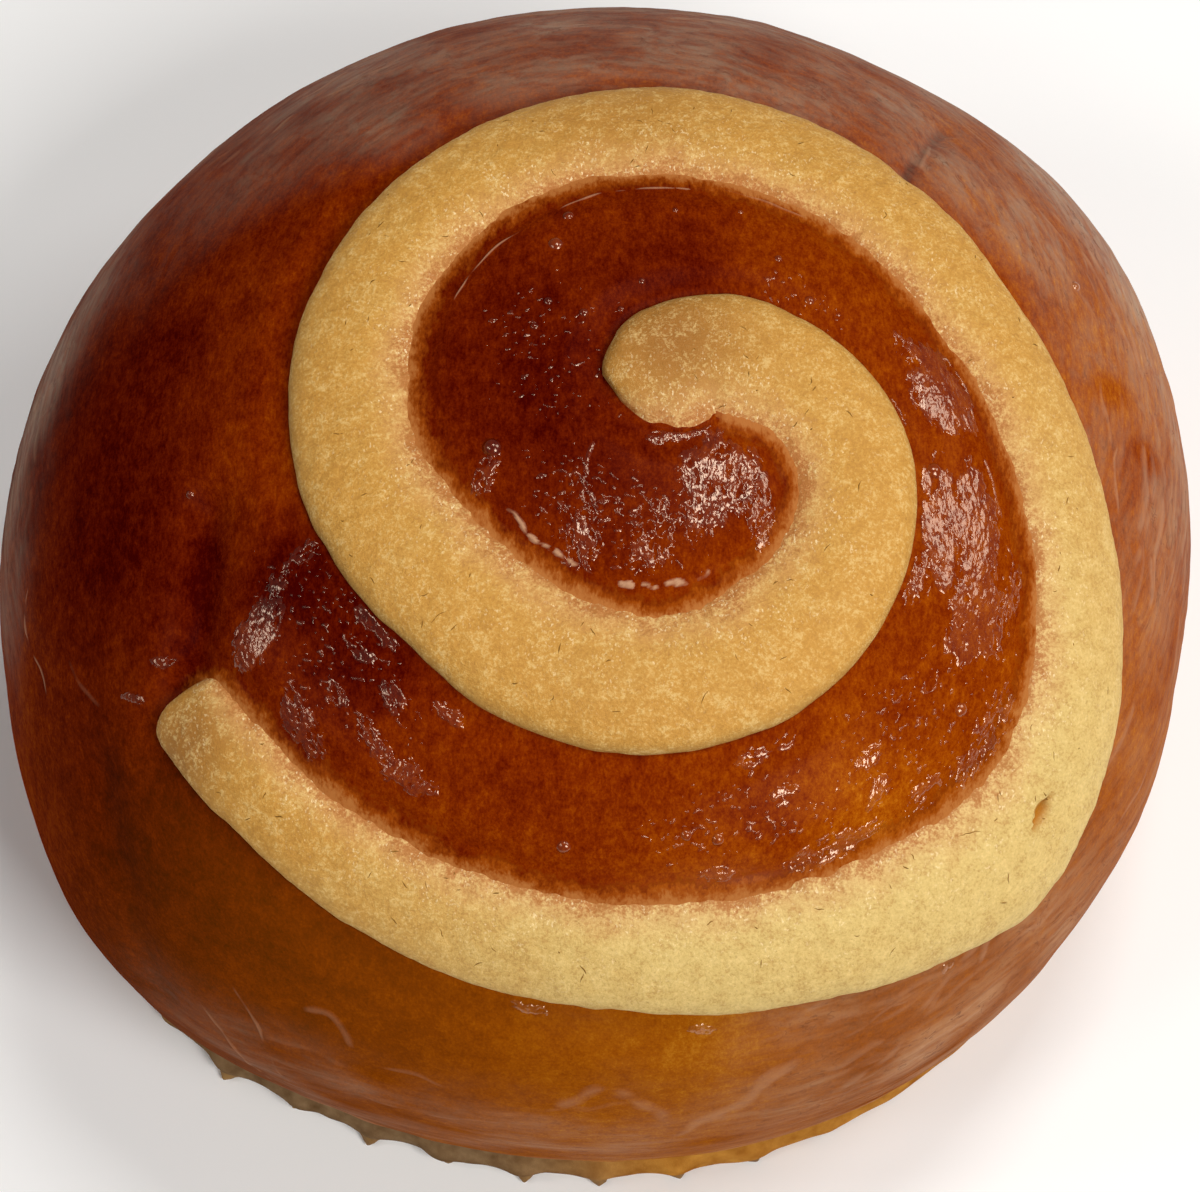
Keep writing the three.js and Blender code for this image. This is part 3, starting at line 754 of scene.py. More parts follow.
class Skin:
    """Glazed bits that stand just over the crust, gathered into one mesh."""

    def __init__(self):
        self.points, self.normals, self.lifts, self.extras, self.faces = [], [], [], [], []
        self.count = 0

    def add(self, points, normals, lift, extra, columns):
        """One grid of the skin, without the faces that lie under the crust."""
        rows = len(points) // columns
        row, column = np.meshgrid(np.arange(rows - 1), np.arange(columns - 1), indexing="ij")
        first = (row * columns + column).ravel()
        quads = np.stack([first, first + 1, first + columns + 1, first + columns], -1)
        self.faces.append(quads[lift[quads].max(1) > HIDDEN] + self.count)
        self.points.append(points)
        self.normals.append(normals)
        self.lifts.append(lift)
        self.extras.append(np.broadcast_to(extra, len(points)))
        self.count += len(points)

    def patch(self, centre, turn, half_sizes, step, on_wall):
        """A grid over a patch: its points, its normals and where each lies in the patch."""
        centre, normal = (part[0] for part in lay_on_crust(np.array([centre]), on_wall))
        turn = math.radians(turn)
        level = np.cross([0.0, 0.0, 1.0], normal) if on_wall else np.array([1.0, 0.0, 0.0])
        level = unit(level - normal * (level @ normal))
        rise = np.cross(normal, level)
        along = level * math.cos(turn) + rise * math.sin(turn)
        across = np.cross(normal, along)
        sides = [np.linspace(-half, half, max(int(2.0 * half / step), 6)) for half in half_sizes]
        run, sideways = (part.ravel() for part in np.meshgrid(*sides, indexing="ij"))
        spots = centre + run[:, None] * along + sideways[:, None] * across
        points, normals = lay_on_crust(spots, on_wall)
        return points, normals, run, sideways, len(sides[1])

    def wrinkled(self, centre, patch, on_wall, flecks, seed):
        """A patch of wrinkles or, with flecks, of separate specks."""
        half_length, half_width, turn, size, depth, cover = patch
        halves = (1.5 * half_length, 1.5 * half_width)
        step = min(SKIN_STEP, size / 3.0)
        points, normals, run, sideways, columns = self.patch(centre, turn, halves, step, on_wall)
        ragged = 1.0 + 0.45 * lumps(points, 1.8, 71) + 0.25 * lumps(points, 0.7, 72)
        reach = (run / half_length) ** 2 + (sideways / half_width) ** 2
        mask = np.exp(-((reach * ragged) ** 1.5))
        laid = np.stack([run / (1.6 if flecks else 2.4), sideways, 7.3 * seed + 0.0 * run], -1)
        laid = laid + 0.5 * size * lumps(points, 2.0 * size, 31)[:, None]
        if flecks:
            ridge = 1.7 * lumps(laid, size, 34) - 0.2
        else:
            ridge = 0.65 * wrinkles(laid, size, 32) + 0.35 * wrinkles(laid, size * 0.45, 33)
            ridge += 0.5 * lumps(points, 1.5, 35)
        show = mask * (ridge + cover + 0.2) * 1.3 - 0.6
        lift = BURIED + (FILM - BURIED) * smooth(show, -0.2, 0.1)
        lift += depth * 0.5 * np.clip(show, 0.0, 1.0)
        gap, _ = around_band(points)
        lift = np.where(gap < 0.25, BURIED, lift)
        self.add(points, normals, lift, 0.0, columns)

    def pimple(self, x, y, radius, height):
        halves = (1.5 * radius, 1.5 * radius)
        grid = self.patch((x, y, 0.0), 0.0, halves, radius / 7.0, False)
        points, normals, run, sideways, columns = grid
        away = np.hypot(run, sideways) / radius * (1.0 + 0.15 * lumps(points, radius, 36))
        lift = height * np.sqrt(np.clip(1.0 - away**2, 0.0, None)) - 0.05 * away
        self.add(points, normals, lift, 1.0, columns)

    def crease(self, half_width, height, pale, path, on_wall):
        """A fine ridge along a path: in the plan, or on the wall as azimuth and height."""
        line = smooth_curve(path, 8)
        if on_wall:
            line = surface_point(line[:, 0], line[:, 1])
        else:
            line = np.column_stack([line, crown_height(line[:, 0], line[:, 1])])
        travelled = distances_along(line)
        along = np.linspace(0.0, travelled[-1], max(int(travelled[-1] / CREASE_STEP), 6))
        spine, normals = lay_on_crust(points_along(line, travelled, along), on_wall)
        sideways = unit(np.cross(normals, np.gradient(spine, axis=0)))
        spine = spine + sideways * (0.3 * lumps(spine, 2.2, 37))[:, None]
        across = np.linspace(-2.0, 2.0, 8)
        spots = spine[:, None] + sideways[:, None] * (across * half_width)[None, :, None]
        points, normals = lay_on_crust(spots.reshape(-1, 3), on_wall)
        share = 2.0 * along / travelled[-1] - 1.0
        taper = (1.0 - share**4)[:, None] * np.exp(-(across**2))[None, :]
        uneven = 0.85 + (0.5 + 1.1 * pale) * lumps(points, 0.45 + 1.6 * (1.0 - pale), 38)
        uneven += 0.4 * lumps(points, 3.0, 39)
        lift = height * (taper.ravel() * uneven - 0.3)
        # The pale mark grows toward a crest: partly the glaze's own colour, partly a painted
        # highlight.
        self.add(points, normals, lift, pale * smooth(lift, 0.0, 0.6 * height), len(across))

    def mesh(self, name, extra):
        """The gathered bits as a mesh, with the crust's own marks and one more."""
        points, normals = np.vstack(self.points), np.vstack(self.normals)
        lifts, extras = np.concatenate(self.lifts), np.concatenate(self.extras)
        faces = np.vstack(self.faces)
        used = np.unique(faces)
        place = np.zeros(self.count, int)
        place[used] = np.arange(len(used))
        points, normals = points[used], normals[used]
        gap, side = around_band(points)
        shaped = shape_crust(points, normals, gap, side) + normals * lifts[used][:, None]
        marks = {**crust_marks(points, gap, side), extra: extras[used]}
        return make_mesh(name, shaped, place[faces].tolist(), marks)


def build_skin():
    """Glossy bits of the dried egg wash: wrinkled skin, specks, pimples and creases."""
    skin = Skin()
    for seed, (x, y, *patch) in enumerate(SKINS):
        skin.wrinkled((x, y, 0.0), patch, False, False, seed)
    for seed, (azimuth, height, *patch) in enumerate(WALL_SKINS):
        skin.wrinkled(surface_point(azimuth, height), patch, True, False, 40 + seed)
    for seed, (x, y, *patch) in enumerate(SPECKS):
        skin.wrinkled((x, y, 0.0), patch, False, True, 60 + seed)
    for pimple in PIMPLES:
        skin.pimple(*pimple)
    for crease in GLOSSY_CREASES:
        skin.crease(*crease, False)
    return skin.mesh("glaze_skin", "calm")


def build_creases():
    """Dull creases of the crust, and the flow lines that run round its wall."""
    creases = Skin()
    for crease in CREASES:
        creases.crease(*crease, False)
    for crease in WALL_CREASES:
        creases.crease(*crease, True)
    draw = np.random.default_rng(52)
    share = np.linspace(0.0, 1.0, 5)
    for azimuths, heights, count, lengths, pale in FLOWS:
        for _ in range(count):
            length = draw.uniform(*lengths)
            start = draw.uniform(azimuths[0], azimuths[1] - length)
            height = draw.uniform(*heights)
            climb = draw.uniform(-0.08, 0.08) * length
            sway = 0.5 * np.sin(share * 5.0 + draw.uniform(0.0, 6.0))
            path = np.stack([start + share * length, height + share * climb + sway], -1)
            half_width, ridge = draw.uniform(0.16, 0.6), draw.uniform(0.05, 0.09)
            creases.crease(half_width, ridge, pale * draw.uniform(0.5, 1.2), path, True)
    return creases.mesh("crust_creases", "pale")


# ------------------------------------------------------------------ the foot's crumbs

CRUMB_ROUNDS = 14
CRUMB_STEPS = 9


def crumb_rings(root, tip, half_width, half_height):
    """Points in rings round a crumb, from its root nearly to its tip, made lumpy."""
    along = unit(tip - root)
    across = unit(np.cross([0.0, 0.0, 1.0], along))
    upward = np.cross(along, across)
    share = np.linspace(0.0, 0.97, CRUMB_STEPS)[:, None, None]
    turn = np.arange(CRUMB_ROUNDS)[:, None] * 2.0 * np.pi / CRUMB_ROUNDS
    girth = (1.0 - share**1.7) ** 0.8
    ring = half_width * np.cos(turn) * across + half_height * np.sin(turn) * upward
    rings = (root + share * (tip - root) + girth * ring).reshape(-1, 3)
    middle = root + ((rings - root) @ along)[:, None] * along
    rough = lumpy(rings, (0.26, 1.2, 46), (0.12, 0.5, 47))
    rings = rings + (rings - middle) * rough[:, None] * 1.6
    rings[:, 2] = np.maximum(rings[:, 2], 0.02)
    return rings


def build_crumbs():
    """Little pointed crumbs all round the foot, each of its own length, lean and lumpiness."""
    draw = np.random.default_rng(45)
    quads, triangles = closed_faces(CRUMB_STEPS, CRUMB_ROUNDS)
    points, faces, tone = [], [], []
    for index in range(CRUMB_COUNT):
        azimuth = index / CRUMB_COUNT * 360.0 - 90.0
        reach = CRUMB_TIP_RADIUS - draw.uniform(0.0, 0.9) - 1.3 * hill(azimuth, -48.0, 24.0, 4)
        root = crust_point(azimuth, CRUMB_ROOT_RADIUS, 1.3)
        tip = crust_point(azimuth + draw.uniform(-0.5, 0.5), reach, 0.5)
        half_width = CRUMB_HALF_WIDTH * draw.uniform(0.75, 1.15)
        half_height = CRUMB_HALF_HEIGHT * draw.uniform(0.8, 1.1)
        crumb = np.vstack([crumb_rings(root, tip, half_width, half_height), root, tip])
        faces += (quads + len(tone)).tolist() + (triangles + len(tone)).tolist()
        points.append(crumb)
        tone += [draw.uniform(0.0, 1.0)] * len(crumb)
    return make_mesh("foot_crumbs", np.vstack(points), faces, {"tone": tone})


# ------------------------------------------------------------------ the custard swirl

BAND_STATIONS = 1300
BAND_TOP_POINTS = 52
BAND_UNDER_POINTS = 8
BAND_SINK = 0.25  # how far its edges sink into the crust
BAND_UNDERSIDE = 0.35  # how much deeper its underside lies
BAND_FULL_HALF_WIDTH = 4.2  # a narrower band is lower
# Small cracks and pits, drawn as dark slivers of painted shade: plan x, y, length, turn, bend.
CRACKS = [
    (8.4, -25.3, 1.3, 60, 0.5), (-12.5, -19.0, 1.6, 35, 0.4), (-11.3, -19.9, 0.8, 40, 0.2),
    (-6.5, -24.2, 0.5, 0, 0.0), (-3.0, -21.6, 0.9, 80, 0.2), (7.8, 0.8, 0.9, -60, 0.5),
    (10.0, -1.2, 0.8, 20, 0.3), (22.0, -20.0, 0.7, 70, 0.3), (20.2, -1.6, 0.8, -40, 0.2),
    (1.4, -26.4, 0.7, 5, 0.2), (18.2, -13.0, 1.0, 50, 0.3), (-18.6, 7.0, 0.7, 80, 0.2),
    (-8.6, -34.2, 0.9, 5, 0.2), (3.6, -38.6, 1.0, 3, 0.2), (20.9, -7.7, 1.0, 75, 0.3),
    (14.6, -22.0, 0.7, 30, 0.2), (-1.2, -19.6, 0.6, 60, 0.2), (29.9, -32.7, 2.2, 20, 0.3),
]
SLIT = (35.3, -29.4, 3.3, 62)  # an almond-shaped slit: plan x, y, length, turn
SLIT_DEPTH = 0.7
PIT_COUNT = 120
# Where the custard is baked darker: plan x, y, reach, and how much.
TOASTS = [
    (5.6, 4.2, 6.4, 1.1), (-32.5, -25.5, 4.0, 1.0), (0.0, -23.5, 6.0, 0.1),
    (-26.0, -2.0, 5.0, 0.1), (4.0, -3.0, 3.0, 0.2), (2.0, 27.0, 8.0, 0.45),
]


def band_top(share):
    """The band's height over the crust, from its soft inner edge (-1) to its crisp outer one."""
    out = np.clip((share - 0.2) / 0.8, 0.0, 1.0)
    inner = np.clip((0.2 - share) / 1.2, 0.0, 1.0)
    outer_side = (1.0 - out**3.0) ** (1.0 / 1.9)
    inner_side = (1.0 - inner**2.1) ** 0.9
    return BAND_HEIGHT * np.where(share > 0.2, outer_side, inner_side)


def ragged_edges(along, length):
    """How far the band's outer and inner edges wander, and not at all at its ends."""
    stretch = np.stack([along, np.zeros_like(along), np.zeros_like(along)], -1)
    outer = lumpy(stretch, (0.22, 4.6, 81), (0.09, 1.5, 82))
    inner = lumpy(stretch, (0.30, 3.2, 83), (0.18, 1.0, 84), (0.10, 0.5, 85))
    ends = np.minimum(np.minimum(along, length - along) / 3.0, 1.0)
    return outer * ends, inner * ends


def slit_at(x, y):
    """1 in the almond-shaped slit and 0 outside it."""
    slit_x, slit_y, length, turn = SLIT
    turn = math.radians(turn)
    away_x, away_y = x - slit_x, y - slit_y
    run = (away_x * math.cos(turn) + away_y * math.sin(turn)) / (length / 2.0)
    across = -away_x * math.sin(turn) + away_y * math.cos(turn)
    open_width = 0.42 * np.clip(1.0 - run**2, 0.0, 1.0) ** 1.3
    return smooth(open_width - np.abs(across), -0.12, 0.16) * (np.abs(run) < 1.2)


def custard_relief(points, share):
    """The custard's lumps, calmer toward its edges, with a rough outer rim."""
    inside = np.clip(1.0 - np.abs(share) ** 4, 0.0, 1.0)
    relief = lumpy(points, (0.10, 5.5, 91), (0.045, 2.0, 92), (0.045, 0.8, 93), (0.03, 0.42, 94))
    rough_rim = 0.05 * lumps(points, 0.6, 95) * smooth(share, 0.6, 0.95)
    return relief * (0.35 + 0.65 * inside) + rough_rim


def build_custard():
    """The custard cream as one closed band, with its edges and underside in the crust."""
    line = swirl_line(BAND_STATIONS + 2)
    length = line[-1][-1]
    middle, outward, half, along = (part[1:-1] for part in line)
    outer, inner = ragged_edges(along, length)

    bend = np.linspace(-np.pi / 2.0, np.pi / 2.0, BAND_TOP_POINTS)
    under_share = np.linspace(-0.97, 0.97, BAND_UNDER_POINTS)
    share = np.concatenate([np.sin(bend)[::-1], under_share])
    wander = np.where(share > 0, outer[:, None], -inner[:, None]) * np.abs(share) ** 3
    reach = half[:, None] * share + wander
    x = (middle[:, :1] + outward[:, :1] * reach).ravel()
    y = (middle[:, 1:] + outward[:, 1:] * reach).ravel()
    full = np.clip(half / BAND_FULL_HALF_WIDTH, 0.0, 1.0) ** 0.5
    is_top = np.arange(len(share)) < BAND_TOP_POINTS
    height = np.where(is_top, band_top(share) * full[:, None], -BAND_UNDERSIDE) - BAND_SINK

    columns, stations = len(share), len(middle)
    share, is_top = np.tile(share, stations), np.tile(is_top, stations)
    crown = np.stack([x, y, crown_height(x, y)], -1)
    slit = slit_at(x, y)
    relief = custard_relief(crown, share) - SLIT_DEPTH * slit
    height = height.ravel() + np.where(is_top, relief, 0.0)
    points = crown + crown_normal(x, y) * height[:, None] + pressed_in(crown)
    points = np.vstack([points, points[:columns].mean(0), points[-columns:].mean(0)])

    quads, triangles = closed_faces(stations, columns)
    marks = {
        "share": share,
        "toast": sum(more * dab(crown, *place) for *place, more in TOASTS),
        "slit": slit,
        "travelled": np.repeat(along / length, columns),
    }
    return make_mesh("custard", points, quads.tolist() + triangles.tolist(), with_tips(marks))


CRACK_RINGS = 9
CRACK_SKY = 0.08  # metres over the base, from where the custard is felt for


def cracks_and_pits(draw):
    """The cracks of the table, and pits strewn over the band."""
    middle, outward, half, _ = swirl_line(BAND_STATIONS + 2)
    cracks = list(CRACKS)
    for _ in range(PIT_COUNT):
        station = draw.integers(30, BAND_STATIONS - 30)
        spot = middle[station] + outward[station] * draw.uniform(-0.8, 0.8) * half[station]
        length, turn = draw.uniform(0.2, 0.9), draw.uniform(0.0, 180.0)
        cracks.append((*spot, length, turn, draw.uniform(-0.5, 0.5)))
    return cracks


def crack_rings(surface, crack, index, width):
    """Rings of four points along a crack, let into the custard, or none where it misses it."""
    x, y, length, turn, bow = crack
    turn = math.radians(turn)
    along = np.array([math.cos(turn), math.sin(turn)])
    aside = np.array([-along[1], along[0]])
    share = np.linspace(-0.5, 0.5, CRACK_RINGS)
    stretch = np.column_stack([share * length, share * 0.0, share * 0.0 + index])
    wander = bow * (0.25 - share**2) * length + 0.07 * lumps(stretch, 0.3, 97)
    path = np.array([x, y]) + np.outer(share * length, along) + np.outer(wander, aside)
    reach = width * np.clip(1.0 - (2.0 * share) ** 2, 0.03, None)
    rings = []
    for place, (side_x, side_y) in zip(path, np.outer(reach, aside)):
        above = Vector((*(place - MIDDLE[:2]) * MM, CRACK_SKY))
        spot = surface.ray_cast(above, Vector((0.0, 0.0, -1.0)))[0]
        if spot is None:
            return []
        tips = [(side_x, side_y, -0.01), (0.0, 0.0, 0.014)]
        tips += [(-side_x, -side_y, -0.01), (0.0, 0.0, -0.08)]
        rings.append(np.array(spot) / MM + MIDDLE + np.array(tips))
    return rings


def build_cracks(custard):
    """Thin dark cracks and pits, each a sliver let into the custard's surface: painted shade
    standing for the hollow of a crack.
    """
    surface = BVHTree.FromPolygons(
        [corner.co for corner in custard.vertices], [face.vertices for face in custard.polygons]
    )
    last = 4 * (CRACK_RINGS - 1)
    ends = [[3, 2, 1, 0], [last, last + 1, last + 2, last + 3]]
    sliver = np.vstack([ring_faces(CRACK_RINGS, 4), ends])
    draw = np.random.default_rng(96)
    points, faces = [], []
    for index, crack in enumerate(cracks_and_pits(draw)):
        rings = crack_rings(surface, crack, index, draw.uniform(0.05, 0.09))
        if rings:
            faces += (sliver + 4 * len(points)).tolist()
            points += rings
    return make_mesh("custard_cracks", np.vstack(points), faces, {})


# ------------------------------------------------------------------ finishes


class Grade:
    """A number that changes over a surface. Sums with it add to the finish's nodes."""

    def __init__(self, finish, socket):
        self.finish = finish
        self.socket = socket

    def __add__(self, other):
        return self.finish.sum("ADD", self, other)

    def __radd__(self, other):
        return self.finish.sum("ADD", other, self)

    def __sub__(self, other):
        return self.finish.sum("SUBTRACT", self, other)

    def __rsub__(self, other):
        return self.finish.sum("SUBTRACT", other, self)

    def __mul__(self, other):
        return self.finish.sum("MULTIPLY", self, other)

    def __rmul__(self, other):
        return self.finish.sum("MULTIPLY", other, self)

    def between(self, start, end):
        """0 below start and 1 above end, with a soft turn between them."""
        settings = {"interpolation_type": "SMOOTHSTEP"}
        inputs = {"Value": self, "From Min": start, "From Max": end}
        return self.finish.node("ShaderNodeMapRange", settings, inputs)


class Finish:
    """A procedural material under construction."""

    def __init__(self, name):
        self.material = bpy.data.materials.new(name)
        self.material.use_nodes = True
        self.tree = self.material.node_tree
        self.tree.nodes.clear()
        self.place = self.node("ShaderNodeTexCoord", {}, {}, "Object")

    def node(self, kind, settings, inputs, output=0):
        """Adds a node: its settings first, then its sockets' values or links."""
        made = self.tree.nodes.new(kind)
        for name, value in settings.items():
            if name == "stops":
                ramp = made.color_ramp
                while len(ramp.elements) < len(value):
                    ramp.elements.new(1.0)
                for element, (position, colour) in zip(ramp.elements, value):
                    element.position = position
                    element.color = (*colour, 1.0)
            else:
                setattr(made, name, value)
        for name, value in inputs.items():
            socket = made.inputs[name]
            if isinstance(value, Grade):
                self.tree.links.new(value.socket, socket)
            elif socket.type == "RGBA":
                socket.default_value = (*value, 1.0)
            else:
                socket.default_value = value
        return Grade(self, made.outputs[output])

    def sum(self, operation, first, second):
        return self.node("ShaderNodeMath", {"operation": operation}, {0: first, 1: second})

    def mark(self, name):
        """A mark kept on the mesh's vertices."""
        return self.node("ShaderNodeAttribute", {"attribute_name": name}, {}, "Fac")

    def grain(self, size, detail=2.0, stretch=(1.0, 1.0, 1.0), roughness=0.5, shift=0.0):
        """Unevenness of about this size in millimetres, longer where stretch is over 1."""
        scale = tuple(1.0 / (size * MM * part) for part in stretch)
        inputs = {0: self.place, 1: scale, 2: (shift, shift, shift)}
        place = self.node("ShaderNodeVectorMath", {"operation": "MULTIPLY_ADD"}, inputs)
        inputs = {"Vector": place, "Scale": 1.0, "Detail": detail, "Roughness": roughness}
        return self.node("ShaderNodeTexNoise", {}, inputs, "Fac")

    def grain_round(self, size, detail):
        """Unevenness drawn out into streaks that run level round the bun's axis."""
        settings = {"operation": "MULTIPLY"}
        flat = self.node("ShaderNodeVectorMath", settings, {0: self.place, 1: (1.0, 1.0, 0.0)})
        reach = self.node("ShaderNodeVectorMath", {"operation": "LENGTH"}, {0: flat}, "Value")
        east, north, height = (
            self.node("ShaderNodeSeparateXYZ", {}, {0: self.place}, axis) for axis in "XYZ"
        )
        wander = self.grain(6.0, 2.0, shift=21.0) * 2.6
        scale = 1.0 / (size * MM)
        parts = {0: reach * scale + wander, 1: height * scale + wander + north * (scale * 0.30)}
        parts[2] = east * (scale * 0.30) + wander * 1.5
        place = self.node("ShaderNodeCombineXYZ", {}, parts)
        inputs = {"Vector": place, "Scale": 1.0, "Detail": detail, "Roughness": 0.6}
        return self.node("ShaderNodeTexNoise", {}, inputs, "Fac")

    def mix(self, share, first, second):
        """A colour between two others."""
        settings = {"data_type": "RGBA"}
        return self.node("ShaderNodeMix", settings, {0: share, 6: first, 7: second}, 2)

    def layers(self, colour, *layers):
        """A colour with others over it, each with the share that it covers."""
        for share, paint in layers:
            colour = self.mix(share, colour, paint)
        return colour

    def ramp(self, share, stops):
        return self.node("ShaderNodeValToRGB", {"stops": stops}, {"Fac": share}, "Color")

    def bump(self, height, depth, under=None):
        """Relief of this depth in millimetres, on top of what is under it."""
        inputs = {"Height": height, "Distance": depth * MM, "Strength": 1.0}
        if under is not None:
            inputs["Normal"] = under
        return self.node("ShaderNodeBump", {}, inputs)

    def close(self, **inputs):
        """Ends the finish with its surface."""
        named = {name.replace("_", " "): value for name, value in inputs.items()}
        surface = self.node("ShaderNodeBsdfPrincipled", {}, named, "BSDF")
        output = self.tree.nodes.new("ShaderNodeOutputMaterial")
        self.tree.links.new(surface.socket, output.inputs["Surface"])
        return self.material


def tint(red, green, blue):
    """A colour from its 0 to 255 screen values."""
    values = (part / 255.0 for part in (red, green, blue))
    return tuple(
        part / 12.92 if part <= 0.04045 else ((part + 0.055) / 1.055) ** 2.4
        for part in values
    )


BAKE_STOPS = [
    (0.00, tint(214, 160, 84)),
    (0.16, tint(192, 116, 24)),
    (0.32, tint(166, 84, 6)),
    (0.46, tint(146, 62, 2)),
    (0.62, tint(122, 40, 1)),
    (0.76, tint(100, 24, 1)),
    (0.88, tint(82, 12, 0)),
    (1.00, tint(62, 2, 0)),
]
BAKE_RANGE = 1.14  # the bake at the last of the stops


FOOT_AMBER = [(0.3, tint(196, 138, 58)), (0.7, tint(150, 90, 26))]
SKIRT_BEIGE = [(0.3, tint(142, 114, 82)), (0.7, tint(98, 70, 42))]


def crust_colour(crust):
    """Mottled browns, streaked round the wall, with painted sheen, and painted shade in fine
    wrinkle lines and along the ledge by the custard; and the fibres in them for the relief.
    """
    gap = crust.mark("gap")
    sheen = crust.mark("sheen")
    inner_side = 1.0 - crust.mark("side").between(-0.5, 0.5)

    fibres = crust.grain(0.26, 3.0, (1.0, 2.2, 1.0), 0.65)
    speckle = crust.grain(0.17, 2.0, shift=3.0)
    mottle = crust.grain(0.9, 3.0, (1.0, 1.5, 1.0), 0.6, 13.0)
    clouds = crust.grain(3.2, 4.0, (1.0, 1.6, 1.0), 0.6, 7.0)
    streaks = crust.grain_round(0.40, 4.0)
    tone = crust.mark("bake") + (fibres - 0.5) * 0.50 + (speckle - 0.5) * 0.28
    tone = tone + (mottle - 0.5) * 0.46 + (clouds - 0.5) * 0.34
    # The streaks grow stronger where the sheen is painted.
    tone = tone + (streaks - 0.5) * (0.1 + sheen * 0.6)

    # Painted sheen: grey-tan wisps in the colour, standing for a reflection of the surroundings.
    wisps = crust.grain_round(1.1, 5.0).between(0.30, 0.70)
    painted_sheen = sheen * (0.10 + wisps * (0.10 + mottle * 0.50) + streaks * 0.22)
    # Fine dark wrinkle lines in the sheen: painted shade of wrinkles that have no relief.
    lines = crust.grain_round(2.4, 3.0) - 0.5
    wrinkled = (1.0 - (lines * lines).between(0.0, 0.0004)) * mottle.between(0.46, 0.58)
    worn_gap = gap + (clouds - 0.5) * 2.0 + (mottle - 0.5) * 1.6 + (fibres - 0.5) * 1.6
    # Painted shade: a dark line in the shallow groove by the custard's inner edge.
    painted_ledge_shade = inner_side * worn_gap.between(0.5, 0.9) * (1.0 - worn_gap.between(0.9, 1.4))
    amber_rim = inner_side * (1.0 - worn_gap.between(0.0, 1.4))
    tan_edge = inner_side * (1.0 - worn_gap.between(-0.4, 0.5))
    foot_tone = crust.grain(1.4, 3.0, shift=11.0) * 0.7 + clouds * 0.3
    foot_amber, skirt_beige = crust.ramp(foot_tone, FOOT_AMBER), crust.ramp(foot_tone, SKIRT_BEIGE)

    colour = crust.layers(
        crust.ramp(tone * (1.0 / BAKE_RANGE), BAKE_STOPS),
        (crust.mark("golden") * 0.34, tint(134, 84, 8)),
        (painted_sheen, crust.mix(crust.mark("tan"), tint(168, 138, 112), tint(180, 128, 86))),
        (sheen * wrinkled * 0.35, tint(92, 44, 22)),
        (painted_ledge_shade * 0.45, tint(92, 26, 2)),
        (amber_rim * 0.7, tint(154, 76, 16)),
        (tan_edge * 0.7, tint(182, 118, 62)),
        (crust.mark("bare"), crust.mix(crust.mark("skirt"), foot_amber, skirt_beige)),
    )
    return colour, fibres


def dull_crust(name, pale_colour):
    """The crust's own finish, whose colour turns to another where it is marked pale."""
    crust = Finish(name)
    colour, fibres = crust_colour(crust)
    if pale_colour is not None:
        colour = crust.mix(crust.mark("pale"), colour, pale_colour)
    dull = crust.grain(1.1, 3.0, shift=5.0)
    relief = crust.bump(fibres, 0.05)
    relief = crust.bump(crust.grain(0.2, 2.0, shift=9.0), 0.02, relief)
    return crust.close(
        Base_Color=colour,
        Roughness=0.5 + (dull - 0.5) * 0.2 + crust.mark("bare") * 0.2,
        Specular_IOR_Level=0.0,
        Coat_Weight=0.01 + crust.mark("sheen") * 0.12,
        Coat_Roughness=0.25,
        Normal=relief,
    )


def crust_finish():
    """Egg-washed crust, softly glossy."""
    return dull_crust("egg_washed_crust", None)


def crease_finish():
    """Creased egg wash, greyer than the crust where it stands up: partly the thin glaze's own
    colour, partly a painted highlight on the crests.
    """
    return dull_crust("creased_egg_wash", tint(186, 140, 108))


def skin_finish():
    """Glossy dried egg wash, finely crinkled."""
    skin = Finish("glossy_skin")
    colour, fibres = crust_colour(skin)
    crinkled = 1.0 - skin.mark("calm")
    relief = skin.bump(skin.grain(0.30, 1.0, (1.0, 1.8, 1.0), shift=6.0) * crinkled, 0.065)
    coarse = skin.grain(0.8, 1.0, (1.0, 1.8, 1.0), shift=8.0)
    relief = skin.bump(coarse * crinkled, 0.12, relief)
    return skin.close(
        Base_Color=colour,
        Roughness=0.16 + (fibres - 0.4) * 0.1,
        Specular_IOR_Level=0.85,
        Specular_Tint=(1.0, 0.80, 0.62),
        Normal=relief,
    )


def crumb_finish():
    """Dry toasted crumbs, a dull brown."""
    crumb = Finish("toasted_crumb")
    tone = crumb.mark("tone") * 0.4 + crumb.grain(0.5, 3.0) * 0.8
    colour = crumb.ramp(tone, [(0.25, tint(158, 118, 60)), (0.85, tint(118, 82, 38))])
    relief = crumb.bump(crumb.grain(0.25, 2.0), 0.06)
    return crumb.close(Base_Color=colour, Roughness=0.6, Normal=relief)


def crack_shade_finish():
    """Painted shade for a crack: the dark colour of the sliver that stands in for its hollow."""
    crack = Finish("custard_crack")
    tone = crack.grain(0.6, 2.0)
    colour = crack.ramp(tone, [(0.3, tint(112, 76, 24)), (0.7, tint(148, 106, 44))])
    return crack.close(Base_Color=colour, Roughness=0.9, Specular_IOR_Level=0.1)


